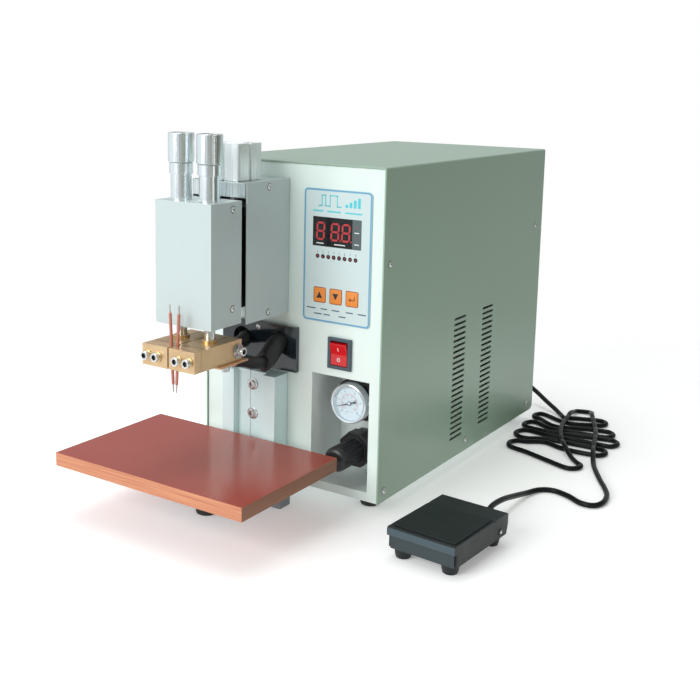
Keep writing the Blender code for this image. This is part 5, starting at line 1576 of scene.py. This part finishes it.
PEDAL_BLACK = finish("pedal_plastic", (0.010, 0.014, 0.016), 0.42, moulded_skin,
                     {"Dust": (0.25, 0.30, 0.32, 1), "Dust Share": 0.01, "Grain Scale": 900.0,
                      "Grain Depth": 0.22}, specular=0.35)
PEDAL_PAD = finish("pedal_pad", (0.006, 0.009, 0.011), 0.34, moulded_skin,
                   {"Dust": (0.25, 0.30, 0.32, 1), "Dust Share": 0.01, "Grain Scale": 2200.0,
                    "Grain Depth": 0.20}, specular=0.30)
PEDAL_LIP = finish("pedal_lip", (0.040, 0.070, 0.085), 0.38, moulded_skin,
                   {"Dust Share": 0.02, "Grain Scale": 900.0, "Grain Depth": 0.15})
PEDAL_APRON = finish("pedal_apron", (0.022, 0.036, 0.042), 0.45, moulded_skin,
                     {"Dust Share": 0.02, "Grain Scale": 500.0, "Grain Depth": 0.3})


def on_pedal(mesh):
    """Turns and moves a mesh drawn in the pedal's own frame to where the pedal stands."""
    bmesh.ops.transform(mesh, matrix=Matrix.Translation(PEDAL_PLACE) @ PEDAL_TURN.to_4x4(), verts=mesh.verts)
    return mesh


HALF_WIDE, HALF_LONG, PEDAL_TOP = 0.034, 0.0475, 0.029
PIN_Y, PIN_Z = 0.034, 0.015
shell = [(-HALF_LONG, 0.0215), (-HALF_LONG, PEDAL_TOP - 0.0014), (-HALF_LONG + 0.0014, PEDAL_TOP),
         (0.0205, PEDAL_TOP),
         (0.0209, PEDAL_TOP - 0.0013), (0.0222, PEDAL_TOP - 0.0013), (0.0226, PEDAL_TOP),
         (HALF_LONG - 0.0012, PEDAL_TOP),
         (HALF_LONG, PEDAL_TOP - 0.0012), (HALF_LONG, 0.0195), (0.0450, 0.0095), (-0.0434, 0.0095),
         (-0.0434, 0.0215)]
treadle = object_of("treadle_moulding", on_pedal(prism(shell, "X", -HALF_WIDE, HALF_WIDE)), PEDAL_BLACK)
shaped(treadle, "DIFFERENCE",
       on_pedal(block((-HALF_WIDE + 0.002, -HALF_LONG + 0.002, 0.0),
                      (HALF_WIDE - 0.002, HALF_LONG - 0.002, 0.0270))),
       on_pedal(block((-HALF_WIDE + 0.002, 0.030, 0.0), (HALF_WIDE - 0.002, 0.060, 0.0195))),
       on_pedal(rod((-0.040, PIN_Y, PIN_Z), (0.040, PIN_Y, PIN_Z), 0.0023)))
eased(treadle, 0.0005, 3, 40)
goes_with(treadle, "treadle", "black_plastic", "pedal_treadle")
pad_outline = rounded((-0.0305, -0.0425), (0.0315, 0.0200), 0.0010)
pad = object_of("treadle_pad", on_pedal(prism(pad_outline, "Z", PEDAL_TOP - 0.0002, PEDAL_TOP + 0.0011)),
                PEDAL_PAD)
eased(pad, 0.0004, 3, 40)
goes_with(pad, "treadle", "black_plastic")
lip = object_of("treadle_lip", on_pedal(block((-0.0338, -HALF_LONG - 0.0002, 0.0216),
                                              (0.0338, -HALF_LONG + 0.0006, 0.0282))), PEDAL_LIP)
eased(lip, 0.0002)
goes_with(lip, "treadle", "dark_plastic")

TRAY_HALF = 0.0312
tray_outline = rounded((-TRAY_HALF, -0.0440), (TRAY_HALF, 0.0445), 0.0020)
tray = object_of("pedal_tray", on_pedal(prism(tray_outline, "Z", 0.0085, 0.0200)), PEDAL_BLACK)
cones = [turned(((0.0, 0.0003), (0.0052, 0.0003), (0.0058, 0.0), (0.0067, 0.0007), (0.0076, 0.0040),
                 (0.0084, 0.0095), (0.0, 0.0095)), 36, (x, y, 0.0))
         for x in (-0.0235, 0.0235) for y in (-0.036, 0.036)]
boss = turned(((0.0, 0.0), (0.0040, 0.0), (0.0040, 0.0085), (0.0037, 0.0095), (0.0034, 0.0110),
               (0.0, 0.0110)), 32,
              (0.0035, 0.0400, 0.0153), (0, 1, 0))
shaped(tray, "UNION", *[on_pedal(cone) for cone in cones], on_pedal(boss))
apron = object_of("pedal_apron", on_pedal(block((-0.0318, -0.0447, 0.0088), (0.0318, -0.0437, 0.0212))),
                  PEDAL_APRON)
goes_with(eased(apron, 0.0002), "cabinet", "black_plastic")
shaped(tray, "DIFFERENCE", on_pedal(rod((-0.040, PIN_Y, PIN_Z), (0.040, PIN_Y, PIN_Z), 0.0023)))
eased(tray, 0.0003, 2, 40)
goes_with(tray, "cabinet", "black_plastic", "pedal_base")
pin = ((0.0, -0.0008), (0.0012, -0.0006), (0.0021, 0.0), (0.0021, 0.0680), (0.0012, 0.0686), (0.0, 0.0688))
ring = ((0.0021, 0.0), (0.0037, 0.0), (0.0039, 0.0003), (0.0039, 0.0006), (0.0021, 0.0006))
for side, x, outward in (("left", -HALF_WIDE, -1), ("right", HALF_WIDE, 1)):
    washer_mesh = on_pedal(turned(ring, 32, (x - outward * 0.0002, PIN_Y, PIN_Z), (outward, 0, 0)))
    goes_with(object_of(f"hinge_ring_{side}", washer_mesh, PEDAL_PAD), "treadle", "black_plastic")
hinge = object_of("pedal_hinge_pin", on_pedal(turned(pin, 28, (-0.034, PIN_Y, PIN_Z), (1, 0, 0))),
                  SCREW_NICKEL)
goes_with(hinge, "cabinet", "steel", "pedal_pin")


# ---- Back of the cabinet ----
# A moulded appliance inlet with three pins, a brass push-in air fitting and a ribbed gland for the lead are
# fixed through the back sheet, and five screws hold the cover to it.

INLET_BLACK = finish("inlet_plastic", (0.012, 0.012, 0.014), 0.40, moulded_skin,
                     {"Dust Share": 0.15, "Grain Scale": 1100.0, "Grain Depth": 0.15})
refined("mains_inlet", "appliance_inlet", INLET_BLACK, 0.0005, "cabinet", "black_plastic")
contacts = together([block((x - 0.0020, 0.3610, z - 0.0010), (x + 0.0020, 0.3745, z + 0.0010))
                     for x, z in ((0.0480, 0.0530), (0.0620, 0.0530), (0.0550, 0.0570))])
goes_with(object_of("inlet_contacts", contacts, BRASS_FITTING), "cabinet", "brass")
for x in (0.0345, 0.0755):
    pan_screw(f"inlet_screw_{round(x * 1e4)}", (x, 0.3784, 0.054), (0, 1, 0), "cabinet", 0.6)
nipple = ((0.0019, 0.0210), (0.0019, 0.0340), (0.0042, 0.0340), (0.0050, 0.0292), (0.0038, 0.0277),
          (0.0050, 0.0262),
          (0.0050, 0.0195), (0.0064, 0.0190), (0.0066, 0.0180), (0.0066, 0.0119), (0.0060, 0.0118),
          (0.0060, 0.0), (0.0, 0.0))
goes_with(object_of("air_fitting", turned(nipple, 40, (0.110, 0.364, 0.060), (0, 1, 0)), BRASS_FITTING),
          "cabinet", "brass",
          "air_inlet")
flats = [polar(math.pi / 3 * k, 0.0085, (0.110, 0.060)) for k in range(6)]
goes_with(eased(object_of("air_fitting_hexagon", prism(flats, "Y", 0.3772, 0.3815), BRASS_FITTING), 0.0003),
          "cabinet", "brass")
gland = [(0.0, 0.0), (0.0060, 0.0), (0.0060, 0.0112), (0.0088, 0.0113), (0.0090, 0.0116), (0.0090, 0.0148),
         (0.0084, 0.0153)]
for k in range(5):
    gland += [(0.0070 - 0.0006 * k, 0.0158 + 0.0018 * k), (0.0064 - 0.0006 * k, 0.0170 + 0.0018 * k)]
gland += [(0.0034, 0.0257), (0.0, 0.0257)]
goes_with(object_of("lead_gland", turned(gland, 40, (0.165, 0.366, 0.045), (0, 1, 0)), INLET_BLACK),
          "cabinet",
          "black_plastic", "cord_gland")
for number, (x, z) in enumerate(((0.012, 0.022), (WIDTH - 0.012, 0.022), (0.012, 0.318),
                                 (WIDTH - 0.012, 0.318),
                                 (WIDTH / 2, 0.318))):
    pan_screw(f"back_screw_{number}", (x, DEPTH - SHEET, z), (0, 1, 0), "cabinet", 0.35 * number)


# ---- Inside the cabinet ----
# Dimly seen through the vents: a weld transformer of stacked laminations with its winding, the air valve on
# the wall, and the control board behind the label.

LAMINATED = finish("transformer_iron", (0.16, 0.16, 0.17), 0.50, worked_metal,
                   {"Tarnish": (0.22, 0.13, 0.08, 1), "Stretch": (20.0, 2400.0, 20.0), "Mark Depth": 0.3},
                   metallic=0.8)
ENAMELLED = finish("winding_enamel", (0.45, 0.20, 0.09), 0.30, worked_metal,
                   {"Tarnish": (0.30, 0.11, 0.05, 1), "Stretch": (20.0, 20.0, 900.0), "Mark Depth": 0.4},
                   metallic=0.6)
BOARD_GREEN = finish("circuit_board", (0.02, 0.16, 0.07), 0.40, moulded_skin,
                     {"Dust Share": 0.3, "Grain Scale": 300.0, "Grain Depth": 0.2})
for node, skin, slot_name in (
    ("transformer_core", LAMINATED, "laminations"), ("transformer_winding", ENAMELLED, "copper"),
    ("solenoid_valve", INLET_BLACK, "black_plastic"), ("control_board", BOARD_GREEN, "board_green"),
):
    refined(node, f"{node}_finished", skin, 0.0005, "cabinet", slot_name)
refined("regulator_spindle", "regulator_screw_turned", GROUND_STEEL, 0.0003, "regulator_screw", "steel")
